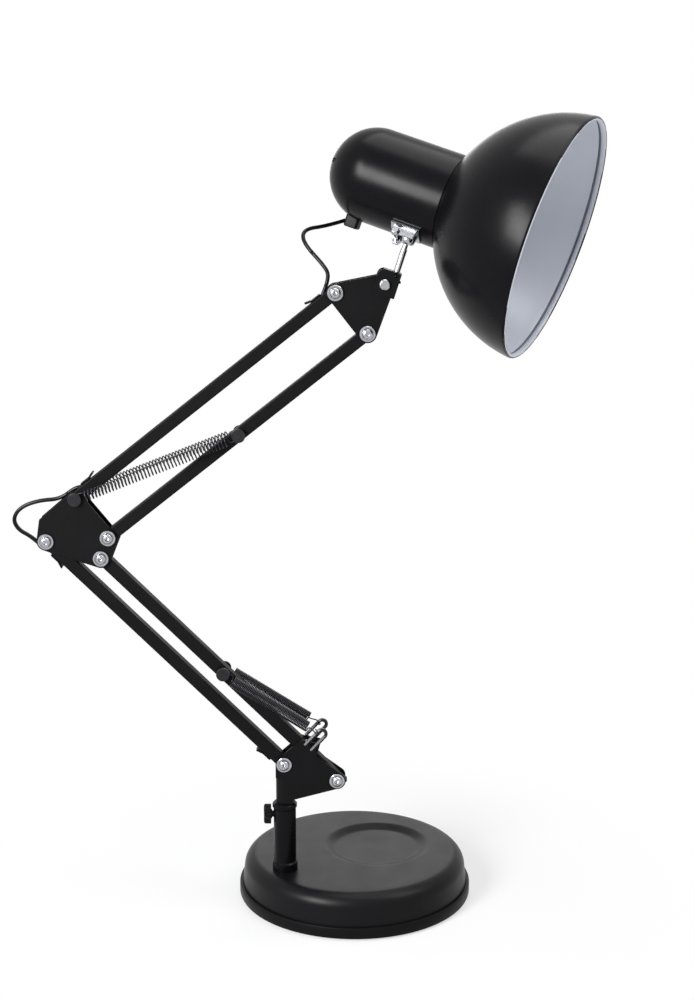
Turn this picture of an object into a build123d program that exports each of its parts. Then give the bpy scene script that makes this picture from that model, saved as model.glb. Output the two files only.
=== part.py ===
"""Architect lamp: a sprung double parallelogram arm on a weighted round base, with a tilting bell shade.

All sizes are in millimetres. The origin is the centre of the base's underside, +X runs to the right,
+Y to the back and +Z up. The four bars of the arm lie in one upright plane in front of the base's centre.
"""

from build123d import *
import math
import os

os.makedirs("parts", exist_ok=True)

# Clearances
slide_gap = 0.3
turn_fit = 0.05
loop_fit = 0.15
hole_fit = 0.1
seat_gap = 0.1

# Base
base_radius = 73.5
base_height = 27.5
cover_wall = 1.2
cover_draft = 1.3
round_steps = 4
cover_round = 9.0
rim_step = 2.0
rim_height = 8.5
rim_wall = 1.2
rim_floor = 1.6
pad_height = 1.0
pad_inset = 3.0
dish_x = 14.8
dish_y = 9.8
dish_radius = 34.9
dish_floor_radius = 26.4
dish_depth = 2.2
weight_inset = 7.5
weight_gap = 0.6

# Post and swivel
post_x = -44.6
arm_y = -29.0
post_radius = 7.1
post_top = 72.5
foot_radius = 8.0
foot_height = 5.0
collar_radius = 7.8
collar_height = 2.5
groove_height = 1.2
groove_depth = 0.5
stud_radius = 5.0
bush_wall = 1.15
bush_depth = 36.0
bush_flange = 0.6
bush_flange_radius = 6.6
pin_radius = 3.0
pin_depth = 30.0
nut_height = 4.5
nut_across = 17.0

# Thumb screw that locks the swivel
thumb_z = 64.7
thumb_thread = 2.0
thumb_neck = 3.0
thumb_reach = 11.0
thumb_tall = 13.0
thumb_wide = 6.5
thumb_thick = 4.5

# Arm: sheet, bars and bolts
sheet = 1.2
bar_size = 7.8
bar_wall = 0.9
bar_corner = 0.8
bar_end = 5.0
bolt_radius = 2.0
washer_radius = 5.4
washer_height = 0.5
flange_radius = 4.75
flange_height = 0.7
head_radius = 3.3
head_height = 1.9
nut_radius = 4.0
lock_nut_height = 3.2
stud_past_nut = 0.8

# Arm: pivots as lengths and angles in the arm's plane, from the pivot over the post
first_pivot_z = 99.65
lower_span = 35.0
lower_span_angle = -17.83
lower_length = 204.3
lower_angle = 135.05
elbow_span = 37.94
elbow_span_angle = 3.23
upper_span = 31.0
upper_span_angle = 128.43
upper_length = 202.0
upper_angle = 38.26
head_span = 29.74
head_span_angle = 9.72

# Base bracket
fold_below_pivot = 9.0
bracket_link_radius = 5.3
bracket_neck_rise = 2.6
bracket_shoulder = (10.6, 16.4)
bracket_peak = (22.8, 13.8)
bracket_notch = (21.3, 8.4)
bracket_heel = (20.1, 5.6)

# Elbow and head plates
elbow_radius = 5.8
elbow_end_radius = 4.8
elbow_link_radius = 6.0
plate_corner_radius = 1.5
elbow_left_corner = (-2.3, 13.0)
elbow_right_corner = (5.1, -0.8)
head_cord_radius = 5.4
head_link_radius = 5.6
head_tilt_radius = 6.2

# Springs, their screws and anchors
wire = 0.8
coil_radius = 3.1
hook_radius = 2.3
hook_length = 7.0
spring_offset = 9.2
upper_spring_reach = 102.9
lower_spring_reach = 100.0
upper_turns = 3
lower_turns = 2
spring_screw_radius = 1.5
spring_head_radius = 4.25
spring_head_height = 1.6
spring_collar_radius = 2.7
anchor_wire_radius = 1.2
anchor_eye = 2.6
anchor_tip = (23.9, 22.0)
anchor_slope = 227.0
anchor_leg = 11.5

# Lead and its clips
lead_radius = 1.0
lead_run = 6.0
lead_join = -2.0
lead_bend = 3.5
lead_inside = (9.0, 1.9)
lead_level = (17.0, 0.0)
lead_steep = (1.8, 6.6)
elbow_way = ((-193.0, 268.8), (-204.5, 264.8), (-209.8, 257.5), (-207.0, 250.5))
head_loop_way = ((-18.5, -28.0, 411.0), (-31.5, -21.0, 424.5), (-31.0, -14.5, 432.0))
clip_start = 8.0
clip_length = 10.5
clip_width = 6.4
clip_height = 1.3
clip_lift = 1.5
clip_tip = 4.5
slot_start = 3.0
slot_width = 3.2
slot_length = 12.0

# Knuckle, rod and ball
knuckle_wall = 1.6
knuckle_left = -6.0
knuckle_right = 7.8
knuckle_bottom = -6.6
knuckle_top = 8.8
knuckle_web = 1.9
knuckle_side = 1.2
knuckle_side_start = 3.0
knuckle_web_start = -3.0
knuckle_round = 4.0
notch_left = 3.6
notch_right = 5.8
notch_depth = 3.0
tilt_angle = 72.1
tilt_nut_height = 5.5
tilt_nut_radius = 4.5
wing_span = 20.0
wing_height = 9.0
wing_thick = 1.8
rod_offset = 4.7
rod_length = 29.0
rod_radius = 2.0
rod_neck_radius = 1.6
rod_neck = 6.0
rivet_radius = 1.25
rivet_head_radius = 1.6
rivet_head_height = 0.7
ball_radius = 3.5
ball_band = 0.1

# Head
head_turn = -21.36
head_dip = -17.82
head_roll = 32.3
ball_lift = 3.0
housing_radius = 28.9
housing_wall = 1.2
housing_length = 80.1
dome_steps = 8
junction = 14.5
rim_shade_radius = 74.0
shade_depth = 66.3
shade_flare = 64.5
shade_steps = 8
shade_wall = 1.0
shade_neck = 8.0
lip_length = 4.0
lip_height = 0.9
vent_count = 6
vent_start = 57.0
vent_width = 2.6
vent_length = 11.0
vent_radius = 13.5
gasket = 0.5
saddle = 1.2
saddle_front = 6.0
saddle_back = -12.0
saddle_half_width = 6.5
cheek_gap = 2.9
cheek_wall = 1.4
cheek_front = 3.8
cheek_past_ball = 1.0
clamp_ear = 2.6
clamp_screw_back = 7.6
clamp_screw_radius = 1.5
clamp_head_radius = 2.9
clamp_head_height = 2.0
clamp_nut_height = 2.2
gland_back = -42.0
gland_length = 9.0
gland_width = 8.0
gland_rise = 4.5
gland_next = (-17.0, -5.0, 433.4)
holder_radius = 20.0
holder_front = -6.0
holder_length = 44.0
thread_radius = 13.2
shell_wall = 0.4
shell_length = 25.0
contact_radius = 5.0
contact_height = 1.5
frame_front = -1.0
frame_wall = 1.2
frame_lip = 7.0
set_screw_radius = 1.5
set_screw_back = 5.0
set_screw_angles = (-34.0, 146.0)


def polar(start, length, angle):
    """A point at a length and an angle in degrees from another point of the arm's plane."""
    return start + Vector(length, 0).rotate(Axis.Z, angle)


def in_arm(point, front=0):
    """A point of the arm's plane as a place in the lamp, moved to the front by the given distance."""
    return Vector(point.X, arm_y - front, point.Y)


def keep(piece, name):
    """Label a finished piece and write it."""
    piece.part.label = name
    export_step(piece.part, f"parts/{name}.step")


# Pivots of the arm, in its own plane: x to the right and y up
cord_foot = Vector(post_x, first_pivot_z)
link_foot = polar(cord_foot, lower_span, lower_span_angle)
cord_elbow = polar(cord_foot, lower_length, lower_angle)
link_elbow = polar(link_foot, lower_length, lower_angle)
upper_link_elbow = polar(cord_elbow, elbow_span, elbow_span_angle)
upper_cord_elbow = polar(upper_link_elbow, upper_span, upper_span_angle)
cord_head = polar(upper_cord_elbow, upper_length, upper_angle)
link_head = polar(upper_link_elbow, upper_length, upper_angle)
tilt_pivot = polar(cord_head, head_span, head_span_angle)
upper_spring_end = polar(upper_link_elbow, upper_spring_reach, upper_angle)
lower_spring_end = polar(link_foot, lower_spring_reach, lower_angle)

arm_plane = Plane(origin=(0, arm_y, 0), x_dir=(1, 0, 0), z_dir=(0, -1, 0))
cheek_in = bar_size / 2 + slide_gap
cheek_out = cheek_in + sheet
post_plane = Plane(origin=(post_x, arm_y, 0), x_dir=(1, 0, 0), z_dir=(0, -1, 0))
post_axis = Axis((post_x, arm_y, 0), (0, 0, 1))

# Base rings and levels
rim_radius = base_radius + rim_step
weight_radius = base_radius - weight_inset
floor_top = pad_height + rim_floor
ceiling = base_height - cover_wall
post_seat = ceiling - weight_gap
nut_seat = floor_top + slide_gap + nut_height
bush_radius = pin_radius + turn_fit + bush_wall
fold_radius = cheek_out
bracket_bottom = post_top + bush_flange + slide_gap
fold_top = first_pivot_z - fold_below_pivot

# Felt pad under the base
with BuildPart() as foot_pad:
    with BuildSketch():
        Circle(rim_radius - pad_inset)
    extrude(amount=pad_height)
keep(foot_pad, "foot_pad")

# Lower ring of the base, with the floor that carries the weight
with BuildPart() as base_rim:
    with BuildSketch(Plane.XY.offset(pad_height)):
        Circle(rim_radius)
    extrude(amount=rim_height - pad_height)
    chamfer(base_rim.edges().group_by(Axis.Z)[0], rim_wall / 2)
    with BuildSketch(Plane.XY.offset(floor_top)):
        Circle(rim_radius - rim_wall)
    extrude(amount=rim_height, mode=Mode.SUBTRACT)
keep(base_rim, "base_rim")

# Pressed steel cover, with a shallow dish in its top and a hole for the post's stud
dish_spot = Vector(dish_x, dish_y)
shoulder = Vector(base_radius - cover_draft, base_height - cover_round)
crown = Vector(shoulder.X - cover_round, base_height)
round_centre = Vector(crown.X, shoulder.Y)
with BuildPart() as base_cover:
    with BuildSketch(Plane.XZ):
        with BuildLine():
            round_points = [polar(round_centre, cover_round, 90 * k / round_steps) for k in range(round_steps + 1)]
            Polyline((0, floor_top), (base_radius, floor_top), (base_radius, rim_height), *round_points,
                     (0, base_height), (0, floor_top))
        make_face()
    revolve(axis=Axis.Z)
    with BuildSketch(Plane.XZ):
        with BuildLine():
            side_in = base_radius - cover_wall
            Polyline((0, floor_top), (side_in, floor_top), (side_in, rim_height),
                     (side_in - cover_draft, shoulder.Y), (crown.X, ceiling), (0, ceiling), (0, floor_top))
        make_face()
    revolve(axis=Axis.Z, mode=Mode.SUBTRACT)
    dish_taper = math.degrees(math.atan2(dish_radius - dish_floor_radius, dish_depth))
    with BuildSketch(Plane.XY.offset(ceiling)):
        with Locations(dish_spot):
            Circle(dish_radius)
    extrude(amount=-dish_depth, taper=dish_taper)
    with BuildSketch(Plane.XY.offset(base_height)):
        with Locations(dish_spot):
            Circle(dish_radius)
    extrude(amount=-dish_depth, taper=dish_taper, mode=Mode.SUBTRACT)
    with BuildSketch(Plane.XY.offset(floor_top)):
        with Locations((post_x, arm_y)):
            Circle(stud_radius + hole_fit)
    extrude(amount=base_height, mode=Mode.SUBTRACT)
keep(base_cover, "base_cover")

# Cast iron weight, with pockets for the dish above and the nut below
with BuildPart() as base_weight:
    with BuildSketch(Plane.XY.offset(floor_top)):
        Circle(weight_radius)
    extrude(amount=post_seat - floor_top)
    chamfer(base_weight.edges().group_by(Axis.Z)[-1], cover_round / 2)
    with BuildSketch(Plane.XY.offset(ceiling - dish_depth - weight_gap)):
        with Locations((dish_x, dish_y)):
            Circle(dish_radius + weight_gap)
    extrude(amount=base_height, mode=Mode.SUBTRACT)
    with BuildSketch(Plane.XY.offset(floor_top)):
        with Locations((post_x, arm_y)):
            Circle(stud_radius + hole_fit)
    extrude(amount=base_height, mode=Mode.SUBTRACT)
    with BuildSketch(Plane.XY.offset(floor_top)):
        with Locations((post_x, arm_y)):
            Circle(nut_across * 0.6)
    extrude(amount=nut_seat - floor_top, mode=Mode.SUBTRACT)
keep(base_weight, "base_weight")

# Post: a turned tube with a foot, a collar and a stud that goes through the cover and the weight
with BuildPart() as post:
    with BuildSketch(post_plane):
        with BuildLine():
            collar_low = post_top - collar_height
            Polyline(
                (0, floor_top + slide_gap), (stud_radius, floor_top + slide_gap), (stud_radius, base_height),
                (foot_radius, base_height), (foot_radius, base_height + foot_height),
                (post_radius, base_height + foot_height + foot_radius - post_radius),
                (post_radius, collar_low - groove_height),
                (post_radius - groove_depth, collar_low - groove_height),
                (post_radius - groove_depth, collar_low), (collar_radius, collar_low),
                (collar_radius, post_top), (0, post_top), (0, floor_top + slide_gap),
            )
        make_face()
    revolve(axis=post_axis)
    chamfer(post.edges().group_by(Axis.Z)[-1], groove_depth)
    with BuildSketch(Plane.XY.offset(post_top)):
        with Locations((post_x, arm_y)):
            Circle(bush_radius)
    extrude(amount=-bush_depth, mode=Mode.SUBTRACT)
    with BuildSketch(Plane(origin=(post_x, arm_y, thumb_z), x_dir=(0, 1, 0), z_dir=(-1, 0, 0))):
        Circle(thumb_thread + turn_fit)
    extrude(amount=base_radius, mode=Mode.SUBTRACT)
keep(post, "post")

# Nut on the stud
with BuildPart() as post_nut:
    with BuildSketch(Plane.XY.offset(floor_top + slide_gap)):
        with Locations((post_x, arm_y)):
            RegularPolygon(nut_across / 2, 6, major_radius=False)
            Circle(stud_radius + turn_fit, mode=Mode.SUBTRACT)
    extrude(amount=nut_height)
keep(post_nut, "post_nut")

# Plastic bush that lines the post, with a flange under the bracket
with BuildPart() as swivel_bush:
    with BuildSketch(Plane.XY.offset(post_top - bush_depth)):
        with Locations((post_x, arm_y)):
            Circle(bush_radius)
    extrude(amount=bush_depth + bush_flange)
    with BuildSketch(Plane.XY.offset(post_top)):
        with Locations((post_x, arm_y)):
            Circle(bush_flange_radius)
    extrude(amount=bush_flange)
    with BuildSketch(Plane.XY.offset(post_top + bush_flange)):
        with Locations((post_x, arm_y)):
            Circle(pin_radius + turn_fit)
    extrude(amount=-bush_depth - bush_flange, mode=Mode.SUBTRACT)
    with BuildSketch(Plane(origin=(post_x, arm_y, thumb_z), x_dir=(0, 1, 0), z_dir=(-1, 0, 0))):
        Circle(thumb_thread + turn_fit)
    extrude(amount=base_radius, mode=Mode.SUBTRACT)
keep(swivel_bush, "swivel_bush")

# Thumb screw with a waisted grip
thumb_plane = Plane(origin=(post_x, arm_y, thumb_z), x_dir=(0, 1, 0), z_dir=(-1, 0, 0))
grip_in = thumb_reach - thumb_thick / 2
with BuildPart() as thumb_screw:
    with BuildSketch(thumb_plane.offset(pin_radius + slide_gap)):
        Circle(thumb_thread)
    extrude(amount=thumb_reach - pin_radius)
    with BuildSketch(thumb_plane.offset(collar_radius + slide_gap)):
        Circle(thumb_neck)
    extrude(amount=thumb_reach - collar_radius)
    with BuildSketch(thumb_plane.offset(grip_in)):
        end_radius = thumb_wide / 2
        with Locations((0, thumb_tall / 2 - end_radius), (0, end_radius - thumb_tall / 2)):
            Circle(end_radius)
        Rectangle(thumb_wide * 0.7, thumb_tall - thumb_wide)
    extrude(amount=thumb_thick)
    chamfer(thumb_screw.edges().group_by(Axis.X)[0], thumb_thick / 6)
keep(thumb_screw, "thumb_screw")

# Swivel pin, riveted into the fold of the bracket
with BuildPart() as swivel_pin:
    with BuildSketch(Plane.XY.offset(bracket_bottom)):
        with Locations((post_x, arm_y)):
            Circle(cheek_in - seat_gap)
    extrude(amount=fold_top - bracket_bottom)
    with BuildSketch(Plane.XY.offset(bracket_bottom)):
        with Locations((post_x, arm_y)):
            Circle(pin_radius)
    extrude(amount=-pin_depth)
keep(swivel_pin, "swivel_pin")


def touch(point, centre, radius, side):
    """Where a line from a point touches a circle, on the left for side 1 and on the right for side -1."""
    back = point - centre
    swing = side * math.degrees(math.acos(radius / back.length))
    return centre + back.normalized().rotate(Axis.Z, swing) * radius


# Base bracket: one sheet folded round the swivel pin, with two cheeks that hold the lower bars
neck_left = cord_foot - Vector(fold_radius, cord_foot.Y - bracket_bottom)
neck_right = cord_foot + Vector(fold_radius, bracket_bottom - cord_foot.Y)
neck_top = neck_right + Vector(0, bracket_neck_rise)
shoulder_point = cord_foot + Vector(*bracket_shoulder)
heel_point = cord_foot + Vector(*bracket_heel)
with BuildPart() as base_bracket:
    with BuildSketch(arm_plane):
        with BuildLine():
            Polyline(
                neck_left, neck_right, neck_top, touch(neck_top, link_foot, bracket_link_radius, 1),
                link_foot, touch(heel_point, link_foot, bracket_link_radius, -1), heel_point,
                cord_foot + Vector(*bracket_notch), cord_foot + Vector(*bracket_peak), shoulder_point,
                touch(shoulder_point, cord_foot, fold_radius, 1), cord_foot,
                cord_foot - Vector(fold_radius, 0), neck_left,
            )
        make_face()
        with Locations(cord_foot):
            Circle(fold_radius)
        with Locations(link_foot):
            Circle(bracket_link_radius)
    extrude(amount=cheek_out, both=True)
    with BuildSketch(arm_plane):
        with Locations(cord_foot + Vector(lower_span, 0)):
            Rectangle(2 * lower_span, 2 * lower_span)
        with Locations(Vector(cord_foot.X, fold_top + lower_span)):
            Rectangle(2 * lower_span, 2 * lower_span)
    extrude(amount=cheek_in, both=True, mode=Mode.SUBTRACT)
    with BuildSketch(Plane.XY.offset(bracket_bottom)):
        with Locations((post_x, arm_y)):
            Rectangle(2 * fold_radius, 4 * fold_radius, align=(Align.MAX, Align.CENTER))
            Circle(fold_radius, mode=Mode.SUBTRACT)
            Circle(cheek_in)
    extrude(amount=fold_top - bracket_bottom, mode=Mode.SUBTRACT)
    with BuildSketch(arm_plane):
        with Locations(cord_foot, link_foot):
            Circle(bolt_radius + hole_fit)
        eye_centre = cord_foot + Vector(*anchor_tip)
        for side in (-1, 1):
            with Locations(polar(polar(eye_centre, anchor_eye, anchor_slope + 90 * side), anchor_leg,
                                 anchor_slope)):
                Circle(anchor_wire_radius)
    extrude(amount=cheek_out, both=True, mode=Mode.SUBTRACT)
keep(base_bracket, "base_bracket")


def cheek_plate(circles, holes, name):
    """Front and back plates: the hull of circles, drilled for its bolts. Each circle is (centre, radius)."""
    for end, start in (("front", cheek_in), ("back", -cheek_out)):
        with BuildPart() as plate:
            with BuildSketch(arm_plane.offset(start)):
                for centre, radius in circles:
                    with Locations(centre):
                        Circle(radius)
                make_hull()
                with Locations(*holes):
                    Circle(bolt_radius + hole_fit, mode=Mode.SUBTRACT)
            extrude(amount=sheet)
        keep(plate, f"{name}_{end}")


cheek_plate(
    [
        (cord_elbow, elbow_radius), (cord_elbow + Vector(*elbow_left_corner), plate_corner_radius),
        (upper_cord_elbow, elbow_end_radius), (link_elbow, elbow_link_radius),
        (upper_link_elbow + Vector(*elbow_right_corner), plate_corner_radius),
    ],
    [cord_elbow, link_elbow, upper_link_elbow, upper_cord_elbow],
    "elbow_plate",
)
cheek_plate(
    [(cord_head, head_cord_radius), (link_head, head_link_radius), (tilt_pivot, head_tilt_radius)],
    [cord_head, link_head, tilt_pivot],
    "head_plate",
)


def clip_plane(pivot, other, side):
    """A plane at a bar's pivot: x along the bar, y out of the face that the lead's clip sits on."""
    return Plane(origin=in_arm(pivot), x_dir=in_arm(other) - in_arm(pivot), z_dir=(0, -side, 0))


def bar(start, end, fit_start, fit_end, extra, clip_side, name):
    """Square tube from one pivot to the other; clip_side is 0 on a bar that carries no lead."""
    length = (end - start).length
    along = in_arm(end) - in_arm(start)
    with BuildPart() as tube:
        with BuildSketch(Plane(origin=in_arm(start), x_dir=(0, 1, 0), z_dir=along).offset(-bar_end)):
            RectangleRounded(bar_size, bar_size, bar_corner)
            Rectangle(bar_size - 2 * bar_wall, bar_size - 2 * bar_wall, mode=Mode.SUBTRACT)
        extrude(amount=length + 2 * bar_end)
        for point, radius in [(start, bolt_radius + fit_start), (end, bolt_radius + fit_end)] + extra:
            with BuildSketch(arm_plane):
                with Locations(point):
                    Circle(radius)
            extrude(amount=bar_size, both=True, mode=Mode.SUBTRACT)
        if clip_side:
            for pivot, other, side in ((start, end, clip_side), (end, start, -clip_side)):
                with BuildSketch(clip_plane(pivot, other, side)):
                    with Locations((slot_start + slot_length / 2, bar_size / 2)):
                        Rectangle(slot_length, 3 * bar_wall)
                extrude(amount=slot_width / 2, both=True, mode=Mode.SUBTRACT)
    keep(tube, name)


screw_hole = spring_screw_radius + turn_fit
bar(cord_foot, cord_elbow, turn_fit, turn_fit, [], 1, "lower_cord_bar")
bar(link_foot, link_elbow, turn_fit, loop_fit, [(lower_spring_end, screw_hole)], 0, "lower_link_bar")
bar(upper_cord_elbow, cord_head, turn_fit, turn_fit, [], 1, "upper_cord_bar")
bar(upper_link_elbow, link_head, turn_fit, loop_fit, [(upper_spring_end, screw_hole)], 0, "upper_link_bar")


def clips(start, end, clip_side, name):
    """The two clips over the lead's slots, each with its tip lifted off the bar away from the pivot."""
    face = bar_size / 2
    bend = clip_start + clip_length - clip_tip
    with BuildPart() as pair:
        for pivot, other, side in ((start, end, clip_side), (end, start, -clip_side)):
            with BuildSketch(clip_plane(pivot, other, side)):
                with BuildLine():
                    Polyline(
                        (clip_start, face), (bend, face), (bend + clip_tip, face + clip_lift),
                        (bend + clip_tip, face + clip_lift + clip_height), (bend, face + clip_height),
                        (clip_start, face + clip_height), (clip_start, face),
                    )
                make_face()
            extrude(amount=clip_width / 2, both=True)
    keep(pair, name)


clips(cord_foot, cord_elbow, 1, "lower_cord_clips")
clips(upper_cord_elbow, cord_head, 1, "upper_cord_clips")


def fasteners(points, owner):
    """Flanged pan bolts from the front, black washers under them and flanged lock nuts at the back."""
    under_head = cheek_out + washer_height
    with BuildPart() as bolts:
        with Locations(*[Plane(origin=in_arm(p, under_head), z_dir=(0, -1, 0)) for p in points]):
            Cylinder(flange_radius, flange_height, align=(Align.CENTER, Align.CENTER, Align.MIN))
            Cylinder(bolt_radius, under_head + cheek_out + lock_nut_height + stud_past_nut,
                     align=(Align.CENTER, Align.CENTER, Align.MAX))
            with Locations((0, 0, flange_height)):
                Cone(head_radius, head_radius * 0.7, head_height,
                     align=(Align.CENTER, Align.CENTER, Align.MIN))
    keep(bolts, f"{owner}_bolts")
    with BuildPart() as washers:
        with BuildSketch(arm_plane.offset(cheek_out)):
            with Locations(*points):
                Circle(washer_radius)
                Circle(bolt_radius + hole_fit, mode=Mode.SUBTRACT)
        extrude(amount=washer_height)
    keep(washers, f"{owner}_washers")
    with BuildPart() as nuts:
        with BuildSketch(arm_plane.offset(-cheek_out)):
            with Locations(*points):
                RegularPolygon(nut_radius, 6)
                Circle(bolt_radius + turn_fit, mode=Mode.SUBTRACT)
        extrude(amount=-lock_nut_height)
    keep(nuts, f"{owner}_nuts")


fasteners([cord_foot, link_foot], "bracket")
fasteners([cord_elbow, link_elbow, upper_link_elbow], "elbow")
fasteners([cord_head, link_head], "head_plate")

# Screws that hold the springs, with a head on each side
hook_plane = spring_offset - coil_radius
screw_head_in = hook_plane + wire / 2 + seat_gap


def spring_screw(point, face, name):
    """A black screw across the arm. Its collars fill the space between the carrier's face and the hooks."""
    collar = hook_plane - wire / 2 - seat_gap - face
    with BuildPart() as screw:
        with Locations(Plane(origin=in_arm(point), z_dir=(0, -1, 0))):
            Cylinder(spring_screw_radius, 2 * screw_head_in)
            for side in (-1, 1):
                with Locations((0, 0, side * (screw_head_in + spring_head_height / 2))):
                    Cylinder(spring_head_radius, spring_head_height)
                if collar > slide_gap:
                    with Locations((0, 0, side * (face + collar / 2))):
                        Cylinder(spring_collar_radius, collar)
    keep(screw, name)


spring_screw(upper_cord_elbow, cheek_out, "elbow_spring_screw")
spring_screw(upper_spring_end, bar_size / 2, "upper_spring_screw")
spring_screw(lower_spring_end, bar_size / 2, "lower_spring_screw")

# Wire eyes on the outside of the base bracket, staked through its cheeks
with BuildPart() as spring_anchors:
    for side in (-1, 1):
        leg_ends = []
        for turn in (-1, 1):
            top = polar(eye_centre, anchor_eye, anchor_slope + 90 * turn)
            foot = polar(top, anchor_leg, anchor_slope)
            leg_ends.append((top, foot))
        (top_a, foot_a), (top_b, foot_b) = leg_ends
        tip = polar(eye_centre, anchor_eye, anchor_slope + 180)
        level = side * spring_offset
        leg_start = in_arm(polar(foot_a, anchor_wire_radius, anchor_slope), level)
        leg_end = in_arm(polar(foot_b, anchor_wire_radius, anchor_slope), level)
        with BuildLine() as eye:
            Line(leg_start, in_arm(top_a, level))
            ThreePointArc(in_arm(top_a, level), in_arm(tip, level), in_arm(top_b, level))
            Line(in_arm(top_b, level), leg_end)
        with BuildSketch(Plane(origin=leg_start, x_dir=(0, 1, 0), z_dir=in_arm(top_a) - in_arm(foot_a))):
            RegularPolygon(anchor_wire_radius, 6)
        sweep(path=eye.wire())
        with BuildSketch(arm_plane.offset(side * cheek_in)):
            with Locations(foot_a, foot_b):
                Circle(anchor_wire_radius)
        extrude(amount=side * (spring_offset - cheek_in))
keep(spring_anchors, "spring_anchors")


def biarc(p0, t0, p1, t1):
    """The point and direction where two arcs meet that join one point and direction to another."""
    v = p1 - p0
    t = t0 + t1
    a = 2 * (1 - t0.dot(t1))
    b = 2 * v.dot(t)
    c = -v.dot(v)
    reach = (math.sqrt(b * b - 4 * a * c) - b) / (2 * a)
    near = p0 + t0 * reach
    far = p1 - t1 * reach
    return (near + far) * 0.5, (far - near).normalized()


def self_gap(path):
    """Least space between stretches of wire that are not neighbours along the path."""
    step = wire / 2
    count = int(path.length / step)
    points = [path @ (k / count) for k in range(count + 1)]
    apart = int(3 * math.pi * hook_radius / 2 / step)
    least = min(
        (points[k] - points[j]).length for k in range(count + 1) for j in range(k + apart, count + 1)
    )
    return least - wire * math.sqrt(2)


def springs(start, end, turns, on_eye, name):
    """A pair of tension springs: a hook round the screw at start, the coil, then a hook round a screw or eye.

    Each place is (a, b, c): a along the spring from the screw, b across it in the arm's plane and c
    outward from its axis. The coil's half turns meet on the side that faces the arm and the outer side.
    The back spring is the front one turned half round about the line between the two ends.
    """
    along = (in_arm(end) - in_arm(start)).normalized()
    outward = Vector(0, -1, 0)
    across = outward.cross(along)
    origin = in_arm(start, spring_offset)
    reach = (end - start).length
    coil_end = reach - hook_length
    pitch = (coil_end - hook_length) / turns

    def place(a, b, c):
        return origin + along * a + across * b + outward * c

    def heading(a, b, c):
        return (along * a + across * b + outward * c).normalized()

    def ring(a, angle, clockwise):
        turn = math.radians(angle)
        way = -1 if clockwise else 1
        return (
            place(a + hook_radius * math.cos(turn), hook_radius * math.sin(turn), -coil_radius),
            heading(-way * math.sin(turn), way * math.cos(turn), 0),
        )

    nodes = [ring(0, angle, True) for angle in (-40, -110, -190, -270)]
    nodes.append((place(hook_length - hook_radius, hook_radius, -coil_radius), heading(1, 0, 0)))
    for k in range(2 * turns + 1):
        facing = -1 if k % 2 == 0 else 1
        steep = 0 if k == 0 else pitch
        if k == 2 * turns and not on_eye:
            steep = 0
        nodes.append((
            place(hook_length + pitch * k / 2, 0, facing * coil_radius),
            heading(steep, facing * 2 * math.pi * coil_radius, 0),
        ))
    if on_eye:
        eye_back = reach + anchor_wire_radius + wire / 2 + loop_fit - coil_radius
        nodes.append((place(coil_end + hook_radius, 0, coil_radius), heading(1, 0, 0)))
        nodes.append((place(eye_back, 0, coil_radius), heading(1, 0, 0)))
        nodes.append((place(eye_back + coil_radius, 0, 0), heading(0, 0, -1)))
        nodes.append((place(eye_back, 0, -coil_radius), heading(-1, 0, 0)))
    else:
        nodes.append((place(coil_end + hook_radius, -hook_radius, -coil_radius), heading(1, 0, 0)))
        nodes += [ring(reach, angle, False) for angle in (-90, -10, 70, 150)]
    with BuildPart() as coil:
        with BuildLine() as path:
            for (p0, t0), (p1, t1) in zip(nodes, nodes[1:]):
                if (p1 - p0).normalized().dot(t0) > 1 - 1e-6:
                    Line(p0, p1)
                else:
                    middle, through = biarc(p0, t0, p1, t1)
                    TangentArc(p0, middle, tangent=t0)
                    TangentArc(middle, p1, tangent=through)
        with BuildSketch(Plane(origin=nodes[0][0], x_dir=outward, z_dir=nodes[0][1])):
            Rectangle(wire, wire)
        sweep(clean=False)
    wound = path.wire()
    print(name, "length of wire", round(wound.length, 1), "least gap to itself", round(self_gap(wound), 2))
    keep(coil, f"{name}_front")
    with BuildPart() as back_coil:
        add(coil.part.rotate(Axis(in_arm(start), along), 180), clean=False)
    keep(back_coil, f"{name}_back")


eye_leg = polar(polar(eye_centre, anchor_eye, anchor_slope - 90), anchor_eye / 2, anchor_slope)
springs(upper_cord_elbow, upper_spring_end, upper_turns, False, "upper_spring")
springs(lower_spring_end, eye_leg, lower_turns, True, "lower_spring")

# Spacer that keeps the head plates apart at the tilt bolt
with BuildPart() as tilt_spacer:
    with BuildSketch(arm_plane.offset(-cheek_in)):
        with Locations(tilt_pivot):
            Circle(bolt_radius + sheet)
            Circle(bolt_radius + turn_fit, mode=Mode.SUBTRACT)
    extrude(amount=2 * cheek_in)
keep(tilt_spacer, "tilt_spacer")

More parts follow.
